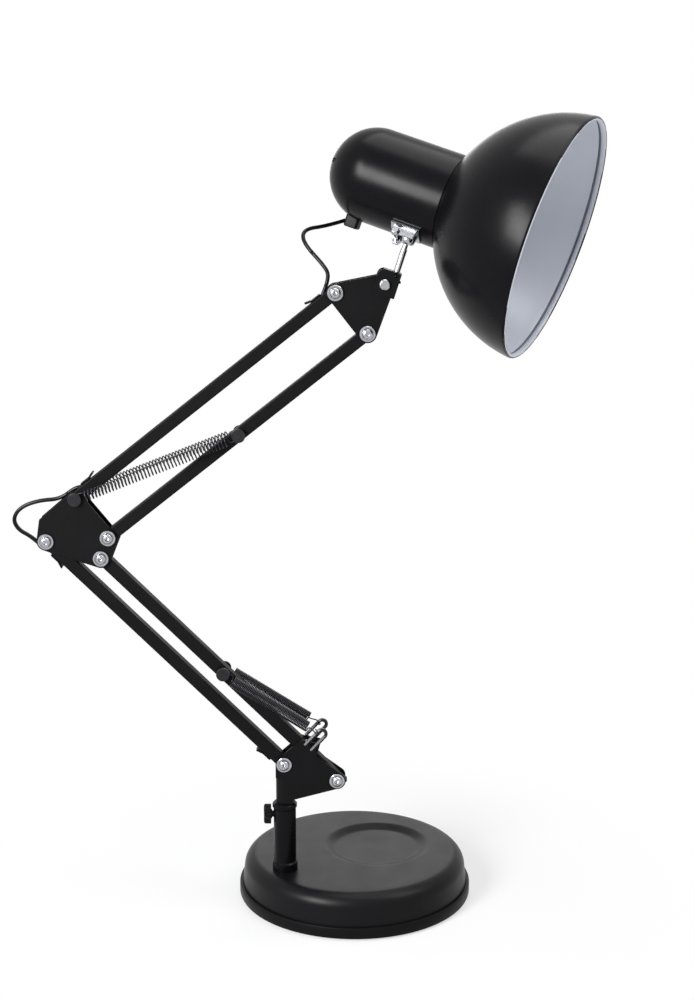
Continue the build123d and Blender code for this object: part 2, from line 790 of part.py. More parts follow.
# Knuckle: a folded cap round the head plates. In its plane x runs to the right of the rod and y along it
rod_way = Vector(math.cos(math.radians(tilt_angle)), 0, math.sin(math.radians(tilt_angle)))
knuckle_plane = Plane(
    origin=in_arm(tilt_pivot), x_dir=(rod_way.Z, 0, -rod_way.X), z_dir=(0, -1, 0)
)
knuckle_in = cheek_out + slide_gap
knuckle_out = knuckle_in + knuckle_wall
web_low = knuckle_top - knuckle_web
with BuildPart() as knuckle:
    with BuildSketch(knuckle_plane):
        with BuildLine():
            Polyline(
                (knuckle_left, knuckle_bottom), (knuckle_right, knuckle_bottom),
                (knuckle_right, knuckle_top), (knuckle_left, knuckle_top),
                (knuckle_left, knuckle_bottom),
            )
        make_face()
        corners = vertices().group_by(Axis.X)[0]
        fillet(corners, knuckle_round)
    extrude(amount=knuckle_out, both=True)
    with BuildSketch(knuckle_plane):
        with BuildLine():
            side_in = knuckle_right - knuckle_side
            Polyline(
                (knuckle_left, knuckle_bottom), (knuckle_right, knuckle_bottom),
                (knuckle_right, knuckle_side_start), (side_in, knuckle_side_start), (side_in, web_low),
                (knuckle_web_start, web_low), (knuckle_web_start, knuckle_top),
                (knuckle_left, knuckle_top), (knuckle_left, knuckle_bottom),
            )
        make_face()
    extrude(amount=knuckle_in, both=True, mode=Mode.SUBTRACT)
    for start in (knuckle_in, -knuckle_out):
        with BuildSketch(knuckle_plane.offset(start)):
            with Locations(((notch_left + notch_right) / 2, knuckle_top - notch_depth / 2)):
                Rectangle(notch_right - notch_left, notch_depth)
        extrude(amount=knuckle_wall, mode=Mode.SUBTRACT)
    with BuildSketch(knuckle_plane):
        Circle(bolt_radius + hole_fit)
    extrude(amount=knuckle_out, both=True, mode=Mode.SUBTRACT)
    with BuildSketch(Plane(origin=knuckle_plane.from_local_coords((rod_offset, web_low, 0)), z_dir=rod_way)):
        Circle(rivet_radius + turn_fit)
    extrude(amount=knuckle_web, mode=Mode.SUBTRACT)
keep(knuckle, "knuckle")

# Tilt bolt, with its pan head in front
tilt_back = knuckle_out + slide_gap + tilt_nut_height
with BuildPart() as tilt_bolt:
    with BuildSketch(knuckle_plane.offset(-tilt_back)):
        Circle(bolt_radius)
    extrude(amount=tilt_back + knuckle_out)
    with BuildSketch(knuckle_plane.offset(knuckle_out)):
        Circle(head_radius)
    extrude(amount=head_height)
    chamfer(tilt_bolt.edges().group_by(Axis.Y)[0], head_height / 3)
keep(tilt_bolt, "tilt_bolt")

# Wing nut at the back of the tilt bolt
with BuildPart() as wing_nut:
    with BuildSketch(knuckle_plane.offset(-knuckle_out - slide_gap)):
        Circle(tilt_nut_radius)
    extrude(amount=-tilt_nut_height, taper=8)
    with BuildSketch(Plane(origin=in_arm(tilt_pivot, -knuckle_out - slide_gap), x_dir=(1, 0, 0),
                           z_dir=(0, 0, 1))):
        for side in (-1, 1):
            with BuildLine():
                Polyline(
                    (side * bolt_radius, tilt_nut_height * 0.2), (side * tilt_nut_radius, 0),
                    (side * wing_span / 2, tilt_nut_height * 0.6), (side * wing_span / 2, wing_height),
                    (side * wing_span * 0.36, wing_height), (side * bolt_radius, tilt_nut_height * 0.7),
                    (side * bolt_radius, tilt_nut_height * 0.2),
                )
            make_face()
    extrude(amount=wing_thick / 2, both=True)
    with BuildSketch(knuckle_plane.offset(-knuckle_out)):
        Circle(bolt_radius + turn_fit)
    extrude(amount=-wing_height - slide_gap, mode=Mode.SUBTRACT)
keep(wing_nut, "wing_nut")

# Head's axis, forward and down, and its fork's axis, which is square to the rod and to the head
head_way = Vector(1, 0, 0).rotate(Axis.Y, -head_dip).rotate(Axis.Z, head_turn)
fork_way = rod_way.cross(head_way).normalized()

# Rod with the ball that carries the head, riveted into the knuckle's web so that it can turn. A narrow
# band round the ball, about the fork's axis, is turned down to a cylinder
rod_base = knuckle_plane.from_local_coords((rod_offset, 0, 0))
ball = rod_base + rod_way * rod_length
rod_plane = Plane(origin=rod_base, x_dir=knuckle_plane.x_dir, z_dir=rod_way)
with BuildPart() as head_rod:
    with Locations(ball):
        Sphere(ball_radius)
    with BuildSketch(Plane(origin=ball, z_dir=fork_way)):
        Circle(2 * ball_radius)
        Circle(ball_radius - ball_band, mode=Mode.SUBTRACT)
    extrude(amount=ball_radius / 2, both=True, mode=Mode.SUBTRACT)
    with BuildSketch(rod_plane.offset(web_low - slide_gap - rivet_head_height)):
        Circle(rivet_head_radius)
    extrude(amount=rivet_head_height)
    with BuildSketch(rod_plane.offset(web_low - slide_gap)):
        Circle(rivet_radius)
    extrude(amount=rod_length - web_low)
    with BuildSketch(rod_plane.offset(knuckle_top + slide_gap)):
        Circle(rod_radius)
    extrude(amount=rod_length - rod_neck - knuckle_top - slide_gap)
    with BuildSketch(rod_plane.offset(knuckle_top + slide_gap)):
        Circle(rod_neck_radius)
    extrude(amount=rod_length - knuckle_top - slide_gap)
keep(head_rod, "head_rod")

# Head: its clamp stands off the housing on the side of the ball
saddle_radius = housing_radius + gasket
head_reach = saddle_radius + saddle + ball_lift
head_up = head_way.cross(fork_way)
roll = math.radians(head_roll)
clamp_out = head_up * -math.cos(roll) - fork_way * math.sin(roll)
clamp_side = fork_way * math.cos(roll) - head_up * math.sin(roll)
head_centre = ball - clamp_out * head_reach
head_plane = Plane(origin=head_centre, x_dir=head_way, z_dir=clamp_side)
head_axis = Axis(head_centre, head_way)
rear = junction - housing_length
dome = rear + housing_radius
neck_radius = housing_radius - housing_wall


def dome_outline(radius, front):
    """Half outline of a round-ended tube along the head's axis; the round end is cut from short cones."""
    with BuildLine() as outline:
        crest = [polar(Vector(dome, 0), radius, 90 + 90 * k / dome_steps) for k in range(dome_steps + 1)]
        Polyline(*crest, (front, 0), (front, radius), crest[0])
    return outline.edges()


housing_outside = dome_outline(housing_radius, junction)
housing_inside = dome_outline(neck_radius, junction)


# Housing: a round-ended shell with vent slots, holes for its set screws and a seat for the gland
with BuildPart() as head_housing:
    with BuildSketch(head_plane):
        make_face(housing_outside)
    revolve(axis=head_axis)
    with BuildSketch(head_plane):
        make_face(housing_inside)
    revolve(axis=head_axis, mode=Mode.SUBTRACT)
    with BuildSketch(Plane(origin=head_centre + head_way * rear, x_dir=fork_way, z_dir=head_way)):
        with PolarLocations(vent_radius, vent_count, start_angle=vent_start):
            SlotOverall(vent_length, vent_width)
    extrude(amount=housing_radius / 3, mode=Mode.SUBTRACT)
    set_screw_spots = [
        Plane(origin=head_centre + head_way * (junction - set_screw_back),
              x_dir=head_way, z_dir=clamp_out.rotate(Axis((0, 0, 0), head_way), angle))
        for angle in set_screw_angles
    ]
    with Locations(*set_screw_spots):
        Cylinder(set_screw_radius + hole_fit, 2 * housing_radius + 2,
                 align=(Align.CENTER, Align.CENTER, Align.MIN), mode=Mode.SUBTRACT)
    gland_plane = Plane(origin=head_centre + head_way * gland_back, x_dir=head_way, z_dir=-head_up)
    with BuildSketch(gland_plane):
        Circle(lead_radius + hole_fit)
    extrude(amount=housing_radius, mode=Mode.SUBTRACT)
keep(head_housing, "head_housing")

# Shade: a spun bell, its neck inside the housing and a folded lip at its rim
rise = rim_shade_radius - housing_radius
chord_angle = math.degrees(math.atan2(rise, shade_depth))
arc_half = shade_flare - chord_angle
arc_radius = math.hypot(rise, shade_depth) / (2 * math.sin(math.radians(arc_half)))
arc_centre = polar(Vector(junction, housing_radius), arc_radius, shade_flare - 90)
rim = junction + shade_depth
rim_angle = shade_flare + 90 - 2 * arc_half


def bell(inset, share):
    """Points of the shade's arc, the given distance inside it, from its rim over a share of its length."""
    steps = max(1, round(shade_steps * share))
    return [polar(arc_centre, arc_radius - inset, rim_angle + 2 * arc_half * share * k / steps)
            for k in range(steps + 1)]


with BuildPart() as shade:
    with BuildSketch(head_plane):
        with BuildLine():
            outside = bell(0, 1)
            lip = bell(shade_wall + lip_height, lip_length / (2 * math.radians(arc_half) * arc_radius))
            inside = bell(shade_wall, 1)
            throat = neck_radius - seat_gap - shade_wall
            Polyline(
                *outside, (junction, neck_radius - seat_gap), (junction - shade_neck, neck_radius - seat_gap),
                (junction - shade_neck, throat), (junction + shade_wall, throat), *inside[:0:-1],
                lip[-1], lip[0], outside[0],
            )
        make_face()
    revolve(axis=head_axis)
    with Locations(*set_screw_spots):
        Cylinder(set_screw_radius, housing_radius,
                 align=(Align.CENTER, Align.CENTER, Align.MIN), mode=Mode.SUBTRACT)
keep(shade, "shade")

# Lampholder: a moulded body, a threaded shell and a sprung contact
with BuildPart() as lampholder_body:
    with BuildSketch(head_plane):
        with BuildLine():
            shell_radius = thread_radius + shell_wall
            holder_back = holder_front - holder_length
            cavity_back = holder_front - shell_length - contact_height
            Polyline(
                (cavity_back, 0), (holder_back, 0), (holder_back, holder_radius * 0.6),
                (holder_back + holder_radius * 0.3, holder_radius * 0.8),
                (holder_front, holder_radius * 0.8), (holder_front, shell_radius + seat_gap),
                (cavity_back, shell_radius + seat_gap), (cavity_back, 0),
            )
        make_face()
    revolve(axis=head_axis)
keep(lampholder_body, "lampholder_body")

with BuildPart() as lampholder_shell:
    with BuildSketch(Plane(origin=head_centre + head_way * holder_front, x_dir=fork_way, z_dir=-head_way)):
        Circle(shell_radius)
        Circle(thread_radius, mode=Mode.SUBTRACT)
    extrude(amount=shell_length)
keep(lampholder_shell, "lampholder_shell")

with BuildPart() as lampholder_contact:
    with BuildSketch(Plane(origin=head_centre + head_way * cavity_back, x_dir=fork_way, z_dir=head_way)):
        Circle(contact_radius)
    extrude(amount=contact_height, taper=30)
keep(lampholder_contact, "lampholder_contact")

# Frame that holds the lampholder in the housing, with a lip against its wall
with BuildPart() as lampholder_frame:
    with BuildSketch(head_plane):
        with BuildLine():
            frame_bore = holder_radius * 0.8 + seat_gap
            frame_rim = neck_radius - seat_gap
            Polyline(
                (frame_front, frame_bore), (frame_front, frame_rim),
                (frame_front - frame_lip, frame_rim), (frame_front - frame_lip, frame_rim - frame_wall),
                (frame_front - frame_wall, frame_rim - frame_wall),
                (frame_front - frame_wall, frame_bore + frame_wall),
                (holder_front - frame_wall * 3, frame_bore + frame_wall),
                (holder_front - frame_wall * 3, frame_bore), (frame_front, frame_bore),
            )
        make_face()
    revolve(axis=head_axis)
keep(lampholder_frame, "lampholder_frame")

# Set screws that hold the shade's neck in the housing

with BuildPart() as set_screws:
    with Locations(*set_screw_spots):
        with Locations((0, 0, throat)):
            Cylinder(set_screw_radius - turn_fit, housing_radius - seat_gap - throat,
                     align=(Align.CENTER, Align.CENTER, Align.MIN))
keep(set_screws, "set_screws")

# Ball clamp: a saddle on the housing with two cheeks that grip the ball
fork_plane = Plane(origin=ball, x_dir=head_way, z_dir=clamp_side)
across_plane = Plane(origin=head_centre + head_way * saddle_back, x_dir=clamp_side, z_dir=head_way)
saddle_way = 1 if across_plane.to_local_coords(head_centre + clamp_out).Y > 0 else -1


def saddle_sheet(inner, outer):
    """Section across the head of a curved strip that lies on the housing under the ball."""
    half = math.degrees(math.asin(saddle_half_width / housing_radius))
    with BuildLine() as outline:
        near = CenterArc((0, 0), inner, 90 * saddle_way - half, 2 * half)
        far = CenterArc((0, 0), outer, 90 * saddle_way - half, 2 * half)
        Line(near @ 0, far @ 0)
        Line(near @ 1, far @ 1)
    return outline.edges()


gasket_section = saddle_sheet(housing_radius + turn_fit, saddle_radius)
saddle_section = saddle_sheet(saddle_radius, saddle_radius + saddle)


with BuildPart() as clamp_gasket:
    with BuildSketch(across_plane):
        make_face(gasket_section)
    extrude(amount=saddle_front - saddle_back)
keep(clamp_gasket, "clamp_gasket")

with BuildPart() as ball_clamp:
    with BuildSketch(across_plane):
        make_face(saddle_section)
    extrude(amount=saddle_front - saddle_back)
    for start in (cheek_gap, -cheek_gap - cheek_wall):
        with BuildSketch(fork_plane.offset(start)):
            with BuildLine():
                cheek_foot = saddle_radius + saddle / 2 - head_reach
                cheek_back = -clamp_screw_back - clamp_ear
                Polyline(
                    (cheek_back, cheek_foot), (cheek_front, cheek_foot), (cheek_front, 0),
                    (cheek_front - cheek_past_ball, cheek_past_ball), (-clamp_screw_back, cheek_past_ball),
                    (cheek_back, 0), (cheek_back, cheek_foot),
                )
            make_face()
            with Locations((-clamp_screw_back, 0)):
                Circle(clamp_ear)
        extrude(amount=cheek_wall)
    with Locations(ball):
        Sphere(ball_radius + turn_fit, mode=Mode.SUBTRACT)
    with BuildSketch(fork_plane):
        with Locations((-clamp_screw_back, 0)):
            Circle(clamp_screw_radius + hole_fit)
    extrude(amount=saddle_half_width, both=True, mode=Mode.SUBTRACT)
keep(ball_clamp, "ball_clamp")

# Clamp screw and its nut
cheek_face = cheek_gap + cheek_wall
with BuildPart() as clamp_screw:
    with BuildSketch(fork_plane.offset(-cheek_face)):
        with Locations((-clamp_screw_back, 0)):
            Circle(clamp_screw_radius)
    extrude(amount=2 * cheek_face + clamp_nut_height)
    with BuildSketch(fork_plane.offset(-cheek_face)):
        with Locations((-clamp_screw_back, 0)):
            Circle(clamp_head_radius)
    extrude(amount=-clamp_head_height, taper=25)
keep(clamp_screw, "clamp_screw")

with BuildPart() as clamp_nut:
    with BuildSketch(fork_plane.offset(cheek_face)):
        with Locations((-clamp_screw_back, 0)):
            RegularPolygon(clamp_screw_radius * 2.1, 6)
            Circle(clamp_screw_radius, mode=Mode.SUBTRACT)
    extrude(amount=clamp_nut_height)
keep(clamp_nut, "clamp_nut")

# Gland: a block under the dome that turns the lead toward the arm
with BuildPart() as cord_gland:
    with BuildSketch(gland_plane.offset(housing_radius - gland_rise / 2)):
        RectangleRounded(gland_length, gland_width, gland_width / 5)
    extrude(amount=gland_rise * 1.7)
    end_face = cord_gland.faces().sort_by(Axis(gland_plane.origin, gland_plane.z_dir))[-1]
    chamfer(end_face.edges(), gland_rise / 6)
    with BuildSketch(head_plane):
        make_face(housing_outside)
    revolve(axis=head_axis, mode=Mode.SUBTRACT)
    gland_level = gland_plane.offset(housing_radius + gland_rise * 0.45)
    gland_exit = gland_level.origin - head_way * (gland_length / 2)
    gland_out = (Vector(*gland_next) - gland_exit).normalized()
    with BuildSketch(Plane(origin=gland_exit - gland_out * (gland_length / 2), z_dir=gland_out)):
        Circle(lead_radius + turn_fit)
    extrude(amount=gland_length, mode=Mode.SUBTRACT)
keep(cord_gland, "cord_gland")


def tube(points, name):
    """A lead along straight runs joined by arcs as large as the runs allow; the radii are printed."""
    radii = []
    for before, here, after in zip(points, points[1:], points[2:]):
        turn = math.radians((here - before).get_angle(after - here))
        shorter = min((here - before).length, (after - here).length)
        radii.append(0.45 * shorter / math.tan(turn / 2))
    with BuildPart() as lead:
        with BuildLine() as route:
            FilletPolyline(*points, radius=radii)
        with BuildSketch(Plane(origin=points[0], z_dir=points[1] - points[0])) as section:
            RegularPolygon(lead_radius, 6)
        sweep()
    length = route.wire().length
    share = lead.part.volume / (section.sketch.area * length)
    print(name, "length", round(length, 1), "radii", [round(r, 1) for r in radii],
          "volume over section times length", round(share, 4))
    keep(lead, name)


# Lead: a run inside each cord bar, and the loops at the elbow and behind the head
exit_level = bar_size / 2 + slide_gap + lead_radius


def run_points(pivot, other, side, rows):
    """Points of a run near one end of a bar: outside it, through the slot and into the tube."""
    at = clip_plane(pivot, other, side)
    return [at.from_local_coords((x, y, 0)) for x, y in rows]


def before(run):
    """A point that carries a run's first stretch straight on, so that a loop joins it squarely."""
    return run[0] + (run[0] - run[1]).normalized() * lead_run


level_rows = ((lead_join, exit_level), (lead_bend, exit_level), lead_inside, lead_level)
steep_rows = (lead_steep, lead_inside, lead_level)
lower_near = run_points(cord_elbow, cord_foot, -1, level_rows)
lower_far = run_points(cord_foot, cord_elbow, 1, level_rows[2:])
upper_near = run_points(upper_cord_elbow, cord_head, 1, level_rows)
upper_far = run_points(cord_head, upper_cord_elbow, -1, steep_rows)
tube(lower_near + lower_far[::-1], "lower_lead")
tube(upper_near + upper_far[::-1], "upper_lead")
elbow_loop = [Vector(x, arm_y, z) for x, z in elbow_way]
tube([upper_near[0], before(upper_near), *elbow_loop, before(lower_near), lower_near[0]], "elbow_lead")
head_loop = [Vector(*point) for point in (*head_loop_way, gland_next)]
tube([upper_far[0], before(upper_far), *head_loop, gland_exit - gland_out * (gland_length / 4)], "head_lead")
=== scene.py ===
"""Architect lamp: the looks of a sprung desk lamp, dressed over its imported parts.

Sizes are in millimetres and become metres when a mesh is made. The origin is the centre of the
base's underside, +X runs right, +Y back and +Z up.
"""

import math

import bmesh
import bpy
import numpy as np
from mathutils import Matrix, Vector

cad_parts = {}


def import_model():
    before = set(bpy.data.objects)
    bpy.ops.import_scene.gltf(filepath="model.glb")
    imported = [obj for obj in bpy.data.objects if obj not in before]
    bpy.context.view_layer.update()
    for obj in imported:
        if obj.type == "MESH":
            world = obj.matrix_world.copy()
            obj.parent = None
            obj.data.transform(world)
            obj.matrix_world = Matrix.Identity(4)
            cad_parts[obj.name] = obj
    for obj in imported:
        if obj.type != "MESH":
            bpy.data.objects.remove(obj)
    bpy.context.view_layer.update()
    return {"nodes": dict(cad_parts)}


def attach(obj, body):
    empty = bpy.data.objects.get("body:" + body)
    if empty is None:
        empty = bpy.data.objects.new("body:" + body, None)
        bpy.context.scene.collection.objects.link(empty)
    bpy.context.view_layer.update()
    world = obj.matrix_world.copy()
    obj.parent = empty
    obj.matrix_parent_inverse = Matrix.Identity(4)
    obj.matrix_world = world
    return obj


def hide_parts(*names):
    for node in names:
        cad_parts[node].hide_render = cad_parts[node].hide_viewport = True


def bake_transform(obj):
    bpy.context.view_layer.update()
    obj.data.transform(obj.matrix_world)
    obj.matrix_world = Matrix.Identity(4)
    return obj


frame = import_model()
mm = 0.001

# Camera: a metre in front of the lamp, looking down by twelve degrees
camera_place = (-5.0, -1022.0, 480.0)
camera_dip = 12.0
lens_mm = 59.76
sensor_mm = 36.0

camera_data = bpy.data.cameras.new("camera")
camera_data.lens = lens_mm
camera_data.sensor_width = sensor_mm
camera_data.sensor_fit = "AUTO"
camera = bpy.data.objects.new("camera", camera_data)
camera.location = [value * mm for value in camera_place]
camera.rotation_euler = (math.radians(90.0 - camera_dip), 0.0, 0.0)
bpy.context.scene.collection.objects.link(camera)
bpy.context.scene.camera = camera

# Lamp sizes, as in the part's source
base_radius = 73.5
base_height = 27.5
cover_wall = 1.2
cover_draft = 1.3
cover_round = 9.0
rim_radius = 75.5
rim_height = 8.5
pad_height = 1.0
dish_spot = np.array((14.8, 9.8))
dish_depth = 2.2
arm_y = -29.0
coil_radius = 3.1
hook_radius = 2.3
hook_length = 7.0
spring_offset = 9.2
anchor_wire = 1.2
under_head = 5.9
bolt_radius = 2.0
flange_radius = 4.75
flange_height = 0.7
head_radius = 3.3
head_height = 1.9
housing_radius = 28.9
housing_wall = 1.2
housing_length = 80.1
junction = 14.5
rim_shade_radius = 74.0
shade_depth = 66.3
shade_flare = 64.5
shade_wall = 1.0
shade_neck = 8.0

# Pivots of the arm in its own plane, (x, z)
cord_foot = np.array((-44.6, 99.65))
link_foot = np.array((-11.281, 88.933))
cord_elbow = np.array((-189.188, 243.986))
link_elbow = np.array((-155.869, 233.269))
upper_link_elbow = np.array((-151.308, 246.123))
upper_cord_elbow = np.array((-170.576, 270.408))
cord_head = np.array((-11.964, 395.493))
link_head = np.array((7.304, 371.208))
upper_spring_end = np.array((-70.51, 309.842))
lower_spring_end = np.array((-82.053, 159.582))
eye_leg = np.array((-23.488, 122.472))

# Head: its centre beside the ball, its axis, and the way of the rod that carries it
head_centre = np.array((45.862, -12.344, 451.62))
head_way = np.array((0.886628, -0.346752, -0.306028))
rod_lean = math.radians(72.1)
rod_way = np.array((math.cos(rod_lean), 0.0, math.sin(rod_lean)))


def in_arm(point, front=0.0):
    """A point of the arm's plane as a place in the lamp, moved to the front by a distance."""
    return np.array((point[0], arm_y - front, point[1]))


def unit(vector):
    """A vector of length one in the same direction, or a whole array of them."""
    vector = np.asarray(vector, float)
    return vector / np.linalg.norm(vector, axis=-1, keepdims=True)


# The way across the rod and the head's axis, and the way up from that axis
fork_way = unit(np.cross(rod_way, head_way))
head_up = np.cross(head_way, fork_way)

# Materials


def linear(code):
    """An sRGB hex colour as linear red, green, blue and alpha."""
    channels = [int(code[k:k + 2], 16) / 255.0 for k in (1, 3, 5)]
    return [c / 12.92 if c <= 0.04045 else ((c + 0.055) / 1.055) ** 2.4 for c in channels] + [1.0]


def add_node(tree, kind, settings=None, links=None):
    """One node with settings by attribute or input name and links as {input: (node, output)}."""
    node = tree.nodes.new(kind)
    for name, value in (settings or {}).items():
        if isinstance(name, int) or name in node.inputs:
            node.inputs[name].default_value = value
        else:
            setattr(node, name, value)
    for name, (source, output) in (links or {}).items():
        tree.links.new(source.outputs[output], node.inputs[name])
    return node


def new_material(name):
    """A material and its empty node tree."""
    material = bpy.data.materials.new(name)
    material.use_nodes = True
    material.node_tree.nodes.clear()
    return material, material.node_tree


def grained(name, low, high, rough, grain_mm, depth_mm, patch_mm=18.0, **sockets):
    """A finish with two close tones in soft patches, a roughness range and a fine grain as relief.

    The patches are noise at the scale of patch_mm, and the relief is noise at the scale of
    grain_mm that stands up by depth_mm. The other values go to the shader's own sockets.
    """
    material, tree = new_material(name)
    shader = add_node(tree, "ShaderNodeBsdfPrincipled")
    add_node(tree, "ShaderNodeOutputMaterial", links={"Surface": (shader, "BSDF")})
    place = add_node(tree, "ShaderNodeTexCoord")
    patches = add_node(tree, "ShaderNodeTexNoise", {"Scale": 1.0 / (patch_mm * mm), "Detail": 3.0},
                       {"Vector": (place, "Object")})
    tones = add_node(tree, "ShaderNodeMix",
                     {"data_type": "RGBA", 6: linear(low), 7: linear(high)},
                     {"Factor": (patches, "Fac")})
    tree.links.new(tones.outputs[2], shader.inputs["Base Color"])
    grain = add_node(tree, "ShaderNodeTexNoise", {"Scale": 1.0 / (grain_mm * mm), "Detail": 2.0},
                     {"Vector": (place, "Object")})
    spread = add_node(tree, "ShaderNodeMapRange",
                      {"From Min": 0.3, "From Max": 0.7, "To Min": rough[0], "To Max": rough[1]},
                      {"Value": (patches, "Fac")})
    tree.links.new(spread.outputs[0], shader.inputs["Roughness"])
    relief = add_node(tree, "ShaderNodeBump", {"Strength": 1.0, "Distance": depth_mm * mm},
                      {"Height": (grain, "Fac")})
    tree.links.new(relief.outputs[0], shader.inputs["Normal"])
    for socket, value in sockets.items():
        shader.inputs[socket.replace("_", " ")].default_value = value
    return material


# Satin black powder coat, sprayed and baked: a soft sheen with a faint orange peel
black_coat = grained("satin_powder_coat", "#060608", "#09090b", (0.24, 0.29), 1.4, 0.008,
                     Specular_IOR_Level=0.085)
# The same coat on the base's cover, which catches the light from above in a wider sheen
cover_coat = grained("satin_powder_coat_cover", "#08080a", "#0b0b0d", (0.34, 0.4), 1.4, 0.01,
                     Specular_IOR_Level=0.12)
# Flat black enamel on pressed plates and bars: duller, with fine specks
plate_coat = grained("flat_stoved_enamel", "#080809", "#0b0b0d", (0.4, 0.5), 0.9, 0.01,
                     Specular_IOR_Level=0.085)
# White stoved enamel inside the shade: semi gloss, slightly cool
white_enamel = grained("white_stoved_enamel", "#cdd1db", "#d5d9e2", (0.3, 0.38), 2.0, 0.008,
                       Specular_IOR_Level=0.4)
# Painted shade: the white enamel made grey in the groove behind the rolled edge, standing in for
# the shade in that crease
groove_painted_shade = grained("painted_shade_in_groove", "#6e727c", "#787c86", (0.4, 0.5), 2.0, 0.008)
# Bright chrome plate on bolts, nuts, rod and ball clamp, polished, with hairline haze
chrome = grained("chrome_plate", "#a2a4a8", "#b6b8bc", (0.16, 0.26), 0.5, 0.002, patch_mm=3.0,
                 Metallic=1.0)
# Zinc plate on parts inside: grey and a little cloudy
zinc = grained("zinc_plate", "#8c8e90", "#a4a6a8", (0.32, 0.46), 0.6, 0.004, patch_mm=4.0,
               Metallic=1.0)
# Black oxide on drawn spring wire: dark metal with a clear highlight along each turn
spring_black = grained("black_oxide_wire", "#26262a", "#343438", (0.26, 0.36), 0.6, 0.003,
                       patch_mm=3.0, Metallic=0.85)
# Black zinc on the small screws: a dull dark metal
screw_black = grained("black_zinc_screw", "#1a1a1d", "#26262a", (0.34, 0.46), 0.6, 0.004,
                      patch_mm=3.0, Metallic=0.7)
# Moulded nylon for washers, clips, bush, thumb screw, gland and the base's ring: fine
# spark-eroded grain
nylon = grained("moulded_nylon", "#070708", "#0b0b0c", (0.36, 0.46), 0.5, 0.01, patch_mm=8.0,
                Specular_IOR_Level=0.085)
# Soft vinyl sheath of the lead: smooth, slightly waxy
vinyl = grained("vinyl_sheath", "#08080a", "#0c0c0e", (0.2, 0.27), 0.8, 0.004, patch_mm=6.0,
                Specular_IOR_Level=0.15)
# Glazed white moulding of the lampholder
holder_white = grained("lampholder_moulding", "#d8d5cc", "#e2dfd6", (0.25, 0.35), 0.8, 0.004)
# Rolled brass of the screw shell and the contact
brass = grained("rolled_brass", "#b08d4a", "#c4a25e", (0.22, 0.34), 0.6, 0.004, patch_mm=4.0,
                Metallic=1.0)
# Wool felt under the base: matt with loose fibres
felt = grained("wool_felt", "#17171a", "#26262a", (0.9, 1.0), 0.35, 0.12, patch_mm=2.0)
# Raw grey iron of the weight
iron = grained("cast_iron", "#3a3a3c", "#4a4a4c", (0.6, 0.75), 0.8, 0.08, patch_mm=5.0,
               Metallic=0.6)

# Meshes. A circle of the pole's radius closes to one point when its doubles are merged
pole = 0.001
merge_reach = 2.0 * pole
sheet_crease = 30.0
bevel_angle = 32.0
bevel_steps = 2


def put_mesh(name, points, faces, materials, tone=None):
    """A smooth-shaded object at the origin from points in millimetres and faces as index rows."""
    mesh = bpy.data.meshes.new(name)
    mesh.from_pydata((np.asarray(points, float) * mm).tolist(), [],
                     [list(map(int, face)) for face in faces])
    for material in materials:
        mesh.materials.append(material)
    mesh.polygons.foreach_set("use_smooth", np.ones(len(mesh.polygons), bool))
    if tone is not None:
        mesh.polygons.foreach_set("material_index", np.asarray(tone, np.int32))
    mesh.update()
    obj = bpy.data.objects.new(name, mesh)
    bpy.context.scene.collection.objects.link(obj)
    return obj


def grid_faces(rows, columns, closed_rows=False):
    """Quads between neighbours of a grid whose columns close round, and its rows too if asked."""
    r, c = np.meshgrid(np.arange(rows if closed_rows else rows - 1), np.arange(columns),
                       indexing="ij")
    r2, c2 = (r + 1) % rows, (c + 1) % columns
    corners = (r * columns + c, r * columns + c2, r2 * columns + c2, r2 * columns + c)
    return np.stack(corners, -1).reshape(-1, 4)


def face_out(obj, crease=180.0, reach=merge_reach):
    """Merges doubles within a reach, turns faces outwards and keeps edges over a crease sharp."""
    shape = bmesh.new()
    shape.from_mesh(obj.data)
    bmesh.ops.remove_doubles(shape, verts=shape.verts, dist=reach * mm)
    bmesh.ops.recalc_face_normals(shape, faces=shape.faces)
    limit = math.radians(crease)
    for edge in shape.edges:
        edge.smooth = len(edge.link_faces) != 2 or edge.calc_face_angle(0.0) < limit
    shape.to_mesh(obj.data)
    shape.free()
    obj.data.update()
    return obj


def turned(name, profile, start, way, steps, materials, tone=None):
    """A turned piece: each (distance along the axis, radius) of a closed profile goes once round.

    A point is start + s * way + r * (cos t * side + sin t * up), with t in equal steps.
    """
    way = unit(way)
    side = unit(np.cross(way, (0.0, 0.0, 1.0) if abs(way[2]) < 0.9 else (1.0, 0.0, 0.0)))
    up = np.cross(way, side)
    t = np.linspace(0.0, 2.0 * math.pi, steps, endpoint=False)
    s, r = np.asarray(profile, float).T
    round_way = np.cos(t)[:, None] * side + np.sin(t)[:, None] * up
    points = np.asarray(start) + s[:, None, None] * way + r[:, None, None] * round_way[None]
    faces = grid_faces(len(s), steps, closed_rows=True)
    rows = None if tone is None else np.repeat(np.asarray(tone), steps)
    return face_out(put_mesh(name, points.reshape(-1, 3), faces, materials, rows), sheet_crease)


